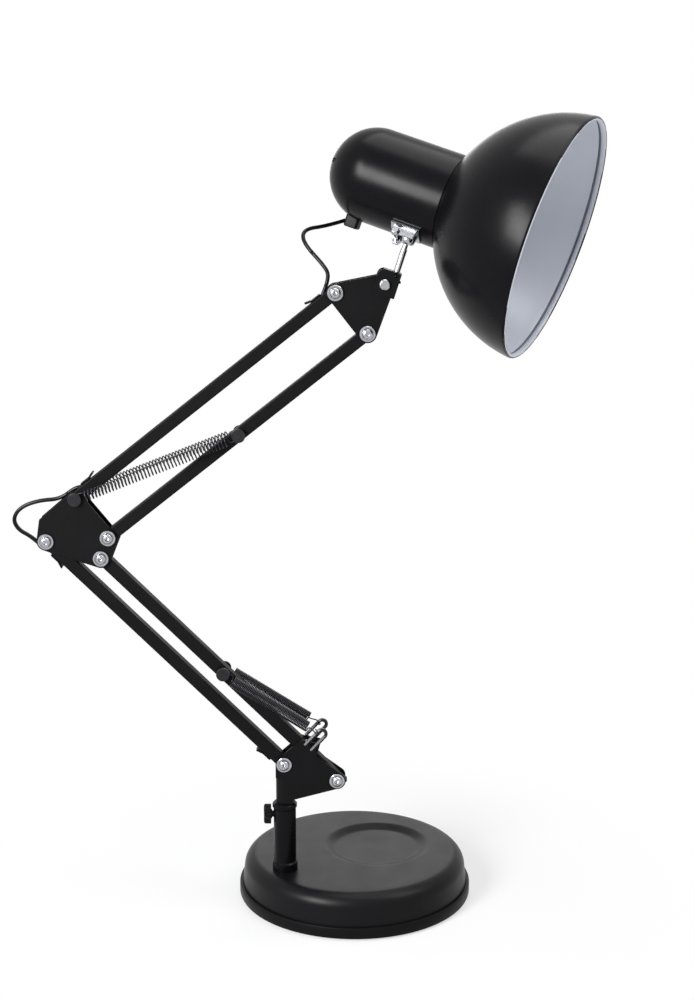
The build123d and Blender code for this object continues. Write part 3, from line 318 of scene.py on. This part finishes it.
def rings_along(path, section, lean=None):
    """A section carried along a path: ring k is path[k] + u * across[k] + v * upward[k].

    Across is turned along with the path so that it never twists, or kept square to lean if that
    is given.
    """
    path = np.asarray(path, float)
    tangents = unit(np.gradient(path, axis=0))
    if lean is None:
        across = np.empty_like(path)
        first = np.cross(tangents[0], (0.0, 1.0, 0.0))
        if np.linalg.norm(first) <= 0.1:
            first = np.cross(tangents[0], (0.0, 0.0, 1.0))
        across[0] = unit(first)
        for k in range(1, len(path)):
            turned_on = across[k - 1] - tangents[k] * np.dot(across[k - 1], tangents[k])
            across[k] = unit(turned_on)
    else:
        lean = np.asarray(lean, float)
        across = unit(lean - tangents * (tangents @ lean)[:, None])
    upward = np.cross(tangents, across)
    u, v = np.asarray(section, float).T[:, None, :, None]
    return path[:, None] + u * across[:, None] + v * upward[:, None]


def skinned(name, rings, material):
    """A closed mesh over rings of points, capped at both ends."""
    rows, count = rings.shape[:2]
    faces = [list(face) for face in grid_faces(rows, count)]
    faces.append(list(range(count))[::-1])
    faces.append(list(range((rows - 1) * count, rows * count)))
    return face_out(put_mesh(name, rings.reshape(-1, 3), faces, [material]))


def circle(radius, steps):
    """Points of a circle in a section's plane."""
    t = np.linspace(0.0, 2.0 * math.pi, steps, endpoint=False)
    return np.stack((radius * np.cos(t), radius * np.sin(t)), -1)


def ride(obj, body, slot, *nodes):
    """The piece moves with a body and stands for its solids; the slot is not used."""
    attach(obj, body)
    if nodes:
        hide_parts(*nodes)
    return obj


def bent(obj, first, second, start, end, slot, *nodes):
    """The piece's place is baked into its mesh and it stands for its solids; first, second, start,
    end and slot are not used.
    """
    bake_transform(obj)
    if nodes:
        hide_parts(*nodes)
    return obj


def softened(node, body, slot, material, width):
    """A copy of a solid with its doubles merged, its flats joined and its edges rounded."""
    source = frame["nodes"][node]
    mesh = source.data.copy()
    mesh.name = node + "_dressed"
    mesh.materials.clear()
    mesh.materials.append(material)
    shape = bmesh.new()
    shape.from_mesh(mesh)
    bmesh.ops.remove_doubles(shape, verts=shape.verts, dist=merge_reach * mm)
    bmesh.ops.dissolve_limit(shape, angle_limit=math.radians(1.0), verts=shape.verts,
                             edges=shape.edges)
    for face in shape.faces:
        face.smooth = True
    limit = math.radians(bevel_angle)
    for edge in shape.edges:
        edge.smooth = len(edge.link_faces) == 2 and edge.calc_face_angle(0.0) < limit
    shape.to_mesh(mesh)
    shape.free()
    obj = bpy.data.objects.new(mesh.name, mesh)
    bpy.context.scene.collection.objects.link(obj)
    bevel = obj.modifiers.new("edge", "BEVEL")
    bevel.width = width * mm
    bevel.segments = bevel_steps
    bevel.limit_method = "ANGLE"
    bevel.angle_limit = limit
    bevel.harden_normals = True
    return ride(obj, body, slot, node)


# Base. The cover is one surface from the dish's middle to its lower edge, and the dish's wall is
# a soft step, a little wider than the slope in the part's source
cover_pole = 0.01
dish_flat = 24.0
dish_step_foot = 26.3
dish_step_top = 35.2
dish_edge = 37.0
plate_top = pad_height + 1.6


def cover_surface():
    """Rings round the dish that pass step by step into rings round the base.

    Ring k, column t is the point at angle t on a circle whose centre goes from the dish's to the
    base's and whose radius goes from the dish's to the crown's. The dish's wall falls by a smooth
    step, the edge of the crown turns down by a quarter circle, and the side leans out by its
    draft.
    """
    steps = 144
    base_spot = np.zeros(2)
    crown_radius = base_radius - cover_draft - cover_round
    dish = np.concatenate((np.linspace(cover_pole, dish_flat, 6),
                           np.linspace(dish_flat + 1.0, dish_edge, 22)))
    rise = np.clip((dish - dish_step_foot) / (dish_step_top - dish_step_foot), 0.0, 1.0)
    rise = rise * rise * (3.0 - 2.0 * rise)
    rows = [(dish_spot, r, base_height - dish_depth * (1.0 - f)) for r, f in zip(dish, rise)]
    for share in np.linspace(0.0, 1.0, 8)[1:]:
        radius = dish_edge + (crown_radius - dish_edge) * share
        rows.append((dish_spot * (1.0 - share), radius, base_height))
    for turn in np.linspace(0.0, math.pi / 2, 14)[1:]:
        rows.append((base_spot, crown_radius + cover_round * math.sin(turn),
                     base_height - cover_round * (1.0 - math.cos(turn))))
    rows += [(base_spot, base_radius, rim_height), (base_spot, base_radius, plate_top)]
    t = np.linspace(0.0, 2.0 * math.pi, steps, endpoint=False)
    points = [np.stack((c[0] + r * np.cos(t), c[1] + r * np.sin(t), np.full(steps, z)), -1)
              for c, r, z in rows]
    return np.concatenate(points), grid_faces(len(rows), steps)


cover_points, cover_faces = cover_surface()
cover = put_mesh("cover_shell", cover_points, cover_faces[:, ::-1], [cover_coat])
face_out(cover, reach=2.0 * cover_pole)
wall = cover.modifiers.new("wall", "SOLIDIFY")
wall.thickness = cover_wall * mm
wall.offset = -1.0
ride(cover, "base", "black_paint", "base_cover")

# The ring round the cover's foot, in one piece with the plate that closes the base from below
ring_edge = 0.9
ring_corner = ring_edge * 0.3
ring_inside = base_radius + 0.2
ring_profile = [
    (pad_height, pole), (pad_height, rim_radius - ring_edge),
    (pad_height + ring_corner, rim_radius - ring_corner), (pad_height + ring_edge, rim_radius),
    (rim_height - ring_edge, rim_radius), (rim_height - ring_corner, rim_radius - ring_corner),
    (rim_height, rim_radius - ring_edge), (rim_height - 0.1, ring_inside),
    (plate_top, ring_inside), (plate_top, pole),
]
ring = turned("base_ring", ring_profile, (0.0, 0.0, 0.0), (0.0, 0.0, 1.0), 160, [nylon])
ride(ring, "base", "black_plastic", "base_rim")

# Shade: a spun bell with a rolled edge, black outside and white inside. The roll is an ellipse
# of two reaches that takes up a length of the wall, and the groove's points are (out, along) from
# its middle
roll_out = 1.3
roll_along = 1.8
roll_back = 1.4
roll_turn = 265.0
groove_points = ((0.78, -1.9), (0.8, -3.0), (0.34, -3.3))
black_tone, white_tone, groove_shade_tone = range(3)

# The line between the coats runs round the roll at an angle. It is set further round at the back
# of the shade
# than at its front as painted light: the black runs on as painted shade where the roll's edge
# turns from the light, and the white starts sooner as a painted highlight where it is lit
coat_turn = 97.0
painted_light_shift = 50.0


def bell_profile():
    """The shade's wall as a closed profile of (distance along the axis, radius) with its tones.

    The outside is one arc from the junction to the rim and the inside is the same arc moved in by
    the wall. At the rim the sheet is rolled inwards: a point of the roll is middle + roll_out
    * cos a * out + roll_along * sin a * along, and a narrow groove parts the roll from the inside.
    The roll's middle and its way out are given back too.
    """
    rise = rim_shade_radius - housing_radius
    flare = math.radians(shade_flare)
    half = flare - math.atan2(rise, shade_depth)
    radius = math.hypot(rise, shade_depth) / (2.0 * math.sin(half))
    centre = np.array((junction + radius * math.sin(flare),
                       housing_radius - radius * math.cos(flare)))
    first = flare + math.pi / 2
    turn = np.linspace(first, first - 2.0 * half + roll_back / radius, 40)
    way = np.stack((np.cos(turn), np.sin(turn)), -1)
    outside = centre + radius * way
    inside = centre + (radius - shade_wall) * way
    out = way[-1]
    middle = outside[-1] - out * roll_out
    along = np.array((out[1], -out[0]))
    lip = [middle + roll_out * math.cos(a) * out + roll_along * math.sin(a) * along
           for a in np.linspace(0.0, math.radians(roll_turn), 26)[1:]]
    groove = [middle + out * u + along * v for u, v in groove_points]
    back = inside[::-1][2:-1]
    throat = housing_radius - housing_wall - 0.1
    neck_end = junction - shade_neck
    neck = [(junction + 1.0, throat - shade_wall), (neck_end, throat - shade_wall),
            (neck_end, throat), (junction, throat)]
    black_lip = 10
    # The groove's rows take the grey of painted shade
    tone = ([black_tone] * (len(outside) + black_lip)
            + [white_tone] * (len(lip) - black_lip - 1) + [groove_shade_tone] * len(groove)
            + [white_tone] * (len(back) + 2) + [black_tone] * (len(neck) - 1))
    return np.concatenate((outside, lip, groove, back, neck)), tone, middle, out


def part_coats(mesh, middle, out):
    """Sets the line between the coats on the roll, with painted light.

    A face of the roll is white where its angle round the roll's middle is over coat_turn plus
    painted_light_shift times the part of its way from the shade's axis that points back, and else
    black. The shift is painted shade at the back of the roll and a painted highlight at its front.
    """
    spots = np.empty(3 * len(mesh.polygons))
    tones = np.empty(len(mesh.polygons), np.int32)
    mesh.polygons.foreach_get("center", spots)
    mesh.polygons.foreach_get("material_index", tones)
    spots = spots.reshape(-1, 3) / mm - head_centre
    along = spots @ head_way
    outward = spots - along[:, None] * head_way
    reach = np.linalg.norm(outward, axis=1)
    from_middle = np.stack((along, reach), -1) - middle
    u = from_middle @ out / roll_out
    v = from_middle @ (out[1], -out[0]) / roll_along
    on_roll = (v > 0.05) & (np.hypot(u, v) < 1.2)
    is_white = np.degrees(np.arctan2(v, u)) > coat_turn + painted_light_shift * outward[:, 1] / reach
    tones[on_roll] = np.where(is_white, white_tone, black_tone)[on_roll]
    mesh.polygons.foreach_set("material_index", tones)
    mesh.update()


shade_profile, shade_tones, roll_middle, roll_way = bell_profile()
shade = turned("shade_bell", shade_profile, head_centre, head_way, 160,
               [black_coat, white_enamel, groove_painted_shade], shade_tones)
part_coats(shade.data, roll_middle, roll_way)
ride(shade, "head", "shade_paint", "shade")

# Housing: a round-ended tube with vent slots in its rear. A slot is a straight stretch of twice
# vent_half with round ends, and its cutter reaches from behind the rear pole into the dome
tube_edge = 0.4
vent_count = 6
vent_first = 57.0
vent_spot = 13.5
vent_half = 4.2
vent_round = 1.3
cutter_back = 2.0
cutter_front = 9.0


def housing_profile():
    """The housing's wall: a quarter circle from the rear pole to the tube, and the same inside."""
    dome = junction - housing_length + housing_radius
    turn = np.linspace(0.0, math.pi / 2, 22)
    inner_radius = housing_radius - housing_wall
    outer, inner = (np.stack((dome - r * np.cos(turn), r * np.sin(turn)), -1)
                    for r in (housing_radius, inner_radius))
    outer[0, 1] = inner[0, 1] = pole
    mouth = [(junction - tube_edge, housing_radius), (junction, housing_radius - tube_edge),
             (junction, inner_radius)]
    return np.concatenate((outer, mouth, inner[::-1]))


def vent_cutter(turn):
    """A bar along the head's axis with a slot's outline, turned about the axis by an angle.

    A point of the outline is centre + u * out + v * across, where (u, v) runs round one end by a
    half circle and then round the other.
    """
    out = math.cos(turn) * fork_way + math.sin(turn) * head_up
    across = np.cross(head_way, out)
    t = np.linspace(-math.pi / 2, math.pi / 2, 9)
    end = np.stack((vent_half + vent_round * np.cos(t), vent_round * np.sin(t)), -1)
    u, v = np.concatenate((end, -end)).T[:, :, None]
    rear = head_centre + head_way * (junction - housing_length)
    outline = rear + out * vent_spot + u * out + v * across
    rings = np.stack((outline - head_way * cutter_back, outline + head_way * cutter_front))
    return skinned("vent_cutter", rings, black_coat)


housing = turned("housing_shell", housing_profile(), head_centre, head_way, 128, [black_coat])
vent_turns = [math.radians(vent_first + 360.0 / vent_count * k) for k in range(vent_count)]
vents = [vent_cutter(turn) for turn in vent_turns]
for cutter in vents:
    cut = housing.modifiers.new("vent", "BOOLEAN")
    cut.object = cutter
    cut.operation = "DIFFERENCE"
    cut.solver = "EXACT"
depsgraph = bpy.context.evaluated_depsgraph_get()
cut_mesh = bpy.data.meshes.new_from_object(housing.evaluated_get(depsgraph))
housing.modifiers.clear()
housing.data = cut_mesh
face_out(housing, sheet_crease)
for cutter in vents:
    bpy.data.objects.remove(cutter)
ride(housing, "head", "black_paint", "head_housing")

# Chrome bolts
shank_length = 9.6
shank_edge = 0.3
recess_radius = 1.3


def bolt_profile():
    """A bolt as (distance in front of the flange's seat, radius).

    It has a shank, a flange, a groove round the head, a head that is a quarter of an ellipse about
    a flat middle, and a round recess in that.
    """
    tip = -under_head - shank_length
    flat = head_radius * 0.45
    side = head_radius * 0.55
    top = flange_height + head_height
    shank = [(tip, pole), (tip, bolt_radius - shank_edge), (tip + shank_edge, bolt_radius),
             (0.0, bolt_radius)]
    flange = [(0.0, flange_radius - 0.15), (0.15, flange_radius),
              (flange_height - 0.2, flange_radius), (flange_height, flange_radius - 0.25)]
    groove = [(flange_height, head_radius + 0.55), (0.2, head_radius + 0.45),
              (0.15, head_radius + 0.05)]
    dome = [(flange_height + head_height * math.sin(a), flat + side * math.cos(a))
            for a in np.linspace(0.0, math.pi / 2, 8)]
    recess = [(top, recess_radius), (flange_height + 0.9, recess_radius - 0.3),
              (flange_height + 0.7, pole)]
    return shank + flange + groove + dome + recess


for owner, body, points in (
    ("bracket", "bracket", (cord_foot, link_foot)),
    ("elbow", "elbow", (cord_elbow, link_elbow, upper_link_elbow)),
    ("head_plate", "head_plates", (cord_head, link_head)),
):
    for number, point in enumerate(points):
        bolt = turned(f"{owner}_bolt_{number + 1}", bolt_profile(), in_arm(point, under_head),
                      (0.0, -1.0, 0.0), 48, [chrome])
        ride(bolt, body, "chrome", *([f"{owner}_bolts"] if number == 0 else []))

# Springs. The gaps are those between a hook's straight stretch and the arcs at its ends, and the
# shares are (share of the length, share of the turn) where two pieces of a spring meet
wire_section = circle(0.42, 7)
solid_wire = 0.4
eye_clearance = 0.15
eye_bend = 2.0
bow_gap = 0.6
throat_gaps = (0.3, 0.4)
turn_steps = 18
upper_pitch = 2.15
lower_pitch = 1.02
spring_hold = 3.0
upper_shares = ((0.0, 0.0), (0.08, 0.456), (0.2, 0.733), (0.4, 0.924), (1.0, 1.0))
lower_shares = ((0.0, 0.0), (0.12, 0.324), (0.35, 0.638), (0.65, 0.837), (1.0, 1.0))


def arc(centre, radius, first, last, count, u, v):
    """Points on an arc: centre + radius * (cos t * u + sin t * v), with t in degrees."""
    t = np.radians(np.linspace(first, last, count))
    return np.asarray(centre) + radius * (np.cos(t)[:, None] * u + np.sin(t)[:, None] * v)


def spring_path(start, end, side, pitch, on_eye):
    """Centre line of a tension spring: a hook, a helix, and a hook round a screw or an eye.

    The helix is origin + a * along - r * (sin t * across + cos t * outward), where a grows evenly
    with t, by about the pitch in each turn. The hooks are arcs beside the coil's axis, in a plane
    along it, and the hook round an eye is an arc square to that plane.
    """
    along = unit(in_arm(end) - in_arm(start))
    outward = np.array((0.0, -1.0, 0.0)) * side
    across = np.cross(outward, along)
    origin = in_arm(start, spring_offset * side)
    reach = float(np.linalg.norm(end - start))
    coil_end = reach - hook_length

    def beside(a, b=0.0):
        """A point in the hooks' plane, a along the spring and b across it."""
        return origin + along * a + across * b - coil_radius * outward

    throat = hook_length - hook_radius
    parts = [arc(beside(0.0), hook_radius, -40.0, -270.0, 26, along, across),
             np.linspace(beside(bow_gap, hook_radius),
                         beside(throat - throat_gaps[0], hook_radius), 6),
             arc(beside(throat), hook_radius, 90.0, 8.0, 8, along, across)]
    turns = int((coil_end - hook_length) / pitch) + (0.5 if on_eye else 0.0)
    t = np.linspace(0.0, 2.0 * math.pi * turns, int(turns * turn_steps))
    stretch = hook_length + (coil_end - hook_length) * t / t[-1]
    parts.append(origin + along * stretch[:, None]
                 - coil_radius * (np.sin(t)[:, None] * across + np.cos(t)[:, None] * outward))
    if on_eye:
        back = reach + anchor_wire + solid_wire + eye_clearance - coil_radius
        bend = origin + outward * coil_radius + along * (coil_end + eye_bend)
        parts += [arc(bend, eye_bend, 172.0, 95.0, 7, along, across * 0.6),
                  arc(origin + along * back, coil_radius, 90.0, -96.0, 22, along, outward)]
    else:
        throat = coil_end + hook_radius
        parts += [arc(beside(throat), hook_radius, 188.0, 270.0, 8, along, across),
                  np.linspace(beside(throat + throat_gaps[1], -hook_radius),
                              beside(reach - bow_gap, -hook_radius), 6),
                  arc(beside(reach), hook_radius, -90.0, 150.0, 26, along, across)]
    return np.concatenate(parts)


def smooth_step_at(value):
    """The x at which the smooth step 3 x^2 - 2 x^3 has a value."""
    return 0.5 - math.sin(math.asin(1.0 - 2.0 * value) / 3.0)


def stretched(name, path, fixed, moving, fixed_end, moving_end, shares, node):
    """A spring in pieces between a fixed and a moving body.

    For each piece a start and an end are worked out, placed so that the smooth step between them
    has the shares of both its ends, and passed to bent, which does not use them.
    """
    along = unit(in_arm(moving_end) - in_arm(fixed_end))
    low = in_arm(fixed_end) + along * spring_hold
    high = in_arm(moving_end) - along * spring_hold
    length = float(np.linalg.norm(high - low))
    place = (path - low) @ along / length
    rings = rings_along(path, wire_section)
    cuts = [0] + [int(np.argmax(place > share)) for share, _ in shares[1:-1]] + [len(path) - 1]
    for number, (first, last) in enumerate(zip(cuts, cuts[1:])):
        (here, turn_here), (there, turn_there) = shares[number], shares[number + 1]
        x_here, x_there = smooth_step_at(turn_here), smooth_step_at(turn_there)
        span = (there - here) / (x_there - x_here)
        start = low + along * length * (here - x_here * span)
        piece = skinned(f"{name}_{number + 1}", rings[first:last + 1], spring_black)
        bent(piece, fixed, moving, start, start + along * length * span, "spring_wire",
             *([node] if number == 0 else []))


for side, word in ((1, "front"), (-1, "back")):
    upper_path = spring_path(upper_cord_elbow, upper_spring_end, side, upper_pitch, False)
    stretched(f"upper_coil_{word}", upper_path, "elbow", "upper_link_bar", upper_cord_elbow,
              upper_spring_end, upper_shares, f"upper_spring_{word}")
    lower_path = spring_path(lower_spring_end, eye_leg, side, lower_pitch, True)[::-1]
    stretched(f"lower_coil_{word}", lower_path, "bracket", "lower_link_bar", eye_leg,
              lower_spring_end, lower_shares, f"lower_spring_{word}")

# Lead: twin flex along smooth lines whose control points are the routes of the part's source.
# The rows are (along the bar from its pivot, out of the face that has the clip)
lead_level = 5.3
level_rows = ((-2.0, lead_level), (3.5, lead_level), (9.0, 1.9), (17.0, 0.0))
steep_rows = ((1.8, 6.6), (9.0, 1.9), (17.0, 0.0))
lead_run = 6.0
elbow_way = ((-193.0, 268.8), (-204.5, 264.8), (-209.8, 257.5), (-207.0, 250.5))
head_loop_way = ((-18.5, -28.0, 411.0), (-31.5, -21.0, 424.5), (-31.0, -14.5, 432.0),
                 (-17.0, -5.0, 433.4))

# The gland's mouth lies behind the head's centre and below its axis, and the lead ends inside it
gland_back = 46.5
gland_drop = 30.925
gland_inside = 2.25

# Bodies along the lead behind the head, and the shares of its length where one length of it ends
# and the next starts, each across one joint
head_chain = ("upper_cord_bar", "head_plates", "knuckle", "head_rod", "head")
head_cuts = np.array((0.0, 0.18, 0.42, 0.64, 1.0))


def run_points(pivot, other, side, rows):
    """Points of a run near one end of a bar: pivot + x * along + y * out."""
    along = unit(in_arm(other) - in_arm(pivot))
    out = np.cross((0.0, -float(side), 0.0), along)
    return [in_arm(pivot) + x * along + y * out for x, y in rows]


def before(run):
    """A point that carries a run's first stretch straight on."""
    return run[0] + unit(run[0] - run[1]) * lead_run


def smooth_line(route, name):
    """Points along the smooth spline whose control points are the route's."""
    curve = bpy.data.curves.new(name, "CURVE")
    curve.dimensions = "3D"
    curve.resolution_u = 12
    line = curve.splines.new("NURBS")
    line.points.add(len(route) - 1)
    for point, place in zip(line.points, route):
        point.co = (*[float(c) * mm for c in place], 1.0)
    line.order_u = 3
    line.use_endpoint_u = True
    holder = bpy.data.objects.new(name, curve)
    bpy.context.scene.collection.objects.link(holder)
    bpy.context.view_layer.update()
    mesh = bpy.data.meshes.new_from_object(holder)
    points = np.array([vertex.co for vertex in mesh.vertices]) / mm
    bpy.data.objects.remove(holder)
    return points


def flex_section(half_width, half_height):
    """Two round cores side by side, as an ellipse drawn in by a seventh where they meet.

    Point t is (half_width * cos t, half_height * sin t * (1 - 0.14 * |sin t| ^ 6)).
    """
    t = np.linspace(0.0, 2.0 * math.pi, 24, endpoint=False)
    groove = 1.0 - 0.14 * np.abs(np.sin(t)) ** 6
    return np.stack((half_width * np.cos(t), half_height * np.sin(t) * groove), -1)


flex = flex_section(1.5, 1.4)
across_arm = (0.0, 1.0, 0.0)


def flex_along(name, line):
    """The flex carried along a line as one mesh, its width across the arm."""
    return skinned(name, rings_along(line, flex, across_arm), vinyl)


def across_joints(node, lengths):
    """Lengths of lead as (name, line, body before, body after). The first stands for the solid."""
    for number, (name, line, first, second) in enumerate(lengths):
        bent(flex_along(name, line), first, second, line[0], line[-1], "lead_skin",
             *([node] if number == 0 else []))


lower_near = run_points(cord_elbow, cord_foot, -1, level_rows)
lower_far = run_points(cord_foot, cord_elbow, 1, level_rows[2:])
upper_near = run_points(upper_cord_elbow, cord_head, 1, level_rows)
upper_far = run_points(cord_head, upper_cord_elbow, -1, steep_rows)
for arm, route in (("lower", lower_near + lower_far[::-1]),
                   ("upper", upper_near + upper_far[::-1])):
    lead = flex_along(f"{arm}_flex", smooth_line(route, f"{arm}_line"))
    ride(lead, f"{arm}_cord_bar", "lead_skin", f"{arm}_lead")

elbow_route = ([upper_near[0], before(upper_near)]
               + [np.array((x, arm_y, z)) for x, z in elbow_way]
               + [before(lower_near), lower_near[0]])
elbow_line = smooth_line(elbow_route, "elbow_line")
middle = len(elbow_line) // 2
across_joints("elbow_lead", [
    ("elbow_flex_upper", elbow_line[:middle + 1], "upper_cord_bar", "elbow"),
    ("elbow_flex_lower", elbow_line[middle:], "elbow", "lower_cord_bar")])

gland_mouth = head_centre - head_way * gland_back - head_up * gland_drop
gland_out = unit(np.array(head_loop_way[-1]) - gland_mouth)
head_route = ([upper_far[0], before(upper_far)] + [np.array(place) for place in head_loop_way]
              + [gland_mouth - gland_out * gland_inside])
head_line = smooth_line(head_route, "head_line")
cuts = (head_cuts * (len(head_line) - 1)).astype(int)
across_joints("head_lead", [
    (f"head_flex_{k + 1}", head_line[cuts[k]:cuts[k + 1] + 1], head_chain[k], head_chain[k + 1])
    for k in range(len(head_chain) - 1)])

# Pieces kept in the shape of their solids, with edges rounded by a width in millimetres
for node, body, slot, material, width in (
    ("post", "base", "black_paint", black_coat, 0.3),
    ("swivel_bush", "base", "black_plastic", nylon, 0.2),
    ("thumb_screw", "thumb_screw", "black_plastic", nylon, 0.6),
    ("base_bracket", "bracket", "black_paint", plate_coat, 0.3),
    ("swivel_pin", "bracket", "steel", zinc, 0.2),
    ("bracket_washers", "bracket", "black_plastic", nylon, 0.15),
    ("bracket_nuts", "bracket", "chrome", chrome, 0.3),
    ("spring_anchors", "bracket", "spring_wire", spring_black, 0.3),
    ("lower_cord_bar", "lower_cord_bar", "black_paint", plate_coat, 0.2),
    ("lower_cord_clips", "lower_cord_bar", "black_plastic", nylon, 0.4),
    ("lower_link_bar", "lower_link_bar", "black_paint", plate_coat, 0.2),
    ("lower_spring_screw", "lower_link_bar", "black_screw", screw_black, 0.35),
    ("elbow_plate_front", "elbow", "black_paint", plate_coat, 0.3),
    ("elbow_plate_back", "elbow", "black_paint", plate_coat, 0.3),
    ("elbow_washers", "elbow", "black_plastic", nylon, 0.15),
    ("elbow_nuts", "elbow", "chrome", chrome, 0.3),
    ("elbow_spring_screw", "elbow", "black_screw", screw_black, 0.35),
    ("upper_cord_bar", "upper_cord_bar", "black_paint", plate_coat, 0.2),
    ("upper_cord_clips", "upper_cord_bar", "black_plastic", nylon, 0.4),
    ("upper_link_bar", "upper_link_bar", "black_paint", plate_coat, 0.2),
    ("upper_spring_screw", "upper_link_bar", "black_screw", screw_black, 0.35),
    ("head_plate_front", "head_plates", "black_paint", plate_coat, 0.3),
    ("head_plate_back", "head_plates", "black_paint", plate_coat, 0.3),
    ("head_plate_washers", "head_plates", "black_plastic", nylon, 0.15),
    ("head_plate_nuts", "head_plates", "chrome", chrome, 0.3),
    ("knuckle", "knuckle", "black_paint", plate_coat, 0.4),
    ("tilt_bolt", "knuckle", "chrome", chrome, 0.3),
    ("wing_nut", "wing_nut", "chrome", chrome, 0.5),
    ("head_rod", "head_rod", "chrome", chrome, 0.2),
    ("ball_clamp", "head", "chrome", chrome, 0.3),
    ("clamp_gasket", "head", "black_plastic", nylon, 0.1),
    ("clamp_screw", "head", "chrome", chrome, 0.25),
    ("clamp_nut", "head", "chrome", chrome, 0.25),
    ("cord_gland", "head", "black_plastic", nylon, 0.5),
    ("set_screws", "head", "black_screw", screw_black, 0.2),
    ("lampholder_body", "head", "holder", holder_white, 0.4),
    ("lampholder_frame", "head", "steel", zinc, 0.2),
):
    softened(node, body, slot, material, width)

# Hidden pieces keep their solids and get their finish
for node, material in (
    ("foot_pad", felt), ("base_weight", iron), ("post_nut", zinc), ("tilt_spacer", zinc),
    ("lampholder_shell", brass), ("lampholder_contact", brass),
):
    solid = frame["nodes"][node]
    solid.data.materials.clear()
    solid.data.materials.append(material)

# World, floor and lamps
plain_white = (1.0, 1.0, 1.0, 1.0)


def seen_plainly(tree):
    """1 for rays of the camera, of reflections and of glass, 0 for the light on the pieces."""
    path = add_node(tree, "ShaderNodeLightPath")
    either = add_node(tree, "ShaderNodeMath", {"operation": "MAXIMUM"},
                      {0: (path, "Is Camera Ray"), 1: (path, "Is Glossy Ray")})
    return add_node(tree, "ShaderNodeMath", {"operation": "MAXIMUM"},
                    {0: (either, 0), 1: (path, "Is Transmission Ray")})


world = bpy.data.worlds.new("studio")
bpy.context.scene.world = world
world.use_nodes = True
tree = world.node_tree
tree.nodes.clear()
seen = add_node(tree, "ShaderNodeBackground", {"Color": plain_white, "Strength": 1.0})
fill = add_node(tree, "ShaderNodeBackground", {"Color": linear("#eef1f6"), "Strength": 0.22})
mixed = add_node(tree, "ShaderNodeMixShader",
                 links={0: (seen_plainly(tree), 0), 1: (fill, 0), 2: (seen, 0)})
add_node(tree, "ShaderNodeOutputWorld", links={"Surface": (mixed, 0)})

# Near the lamp the floor is seen partly as lit, so that it keeps the lamp's shadow, and further
# off it passes into plain white. The light on the pieces meets it as it is painted
floor_size = 3000.0
near_floor = 90.0
far_floor = 260.0
near_glow = 0.6
floor_corners = np.array(((-1, -1, 0), (1, -1, 0), (1, 1, 0), (-1, 1, 0))) * floor_size
floor = put_mesh("floor", floor_corners, [(0, 1, 2, 3)], [])
floor_material, tree = new_material("pale_floor")
plain = add_node(tree, "ShaderNodeBsdfDiffuse", {"Color": linear("#d8d8d8")})
white = add_node(tree, "ShaderNodeEmission", {"Color": plain_white, "Strength": 1.0})
place = add_node(tree, "ShaderNodeTexCoord")
distance = add_node(tree, "ShaderNodeVectorMath", {"operation": "LENGTH"}, {0: (place, "Object")})
glow = add_node(tree, "ShaderNodeMapRange",
                {"interpolation_type": "SMOOTHSTEP", "From Min": near_floor * mm,
                 "From Max": far_floor * mm, "To Min": near_glow, "To Max": 1.0},
                {"Value": (distance, "Value")})
share = add_node(tree, "ShaderNodeMath", {"operation": "MULTIPLY"},
                 {0: (glow, 0), 1: (seen_plainly(tree), 0)})
floor_mix = add_node(tree, "ShaderNodeMixShader",
                     links={0: (share, 0), 1: (plain, 0), 2: (white, 0)})
add_node(tree, "ShaderNodeOutputMaterial", links={"Surface": (floor_mix, 0)})
floor.data.materials.append(floor_material)

# Each softbox is (name, place, the point it faces, width, height, watts)
for name, stand, aim, width, height, power in (
    ("key", (-756.0, -1050.0, 685.0), (24.0, -35.0, 459.0), 400.0, 560.0, 18.0),
    ("side", (-828.0, -793.0, 830.0), (88.0, -77.0, 442.0), 280.0, 560.0, 12.0),
    ("top", (150.0, 100.0, 1500.0), (0.0, 0.0, 200.0), 900.0, 900.0, 10.0),
    ("right", (900.0, -300.0, 1400.0), (80.0, -40.0, 400.0), 700.0, 700.0, 8.0),
    ("back", (5.0, 1400.0, 650.0), (0.0, 0.0, 27.0), 900.0, 400.0, 2.0),
):
    light = bpy.data.lights.new(name, "AREA")
    light.shape = "RECTANGLE"
    light.size = width * mm
    light.size_y = height * mm
    light.energy = power
    lamp = bpy.data.objects.new(name, light)
    lamp.location = [value * mm for value in stand]
    lamp.rotation_euler = (Vector(aim) - Vector(stand)).to_track_quat("-Z", "Y").to_euler()
    bpy.context.scene.collection.objects.link(lamp)

bpy.context.scene.view_settings.view_transform = "Standard"
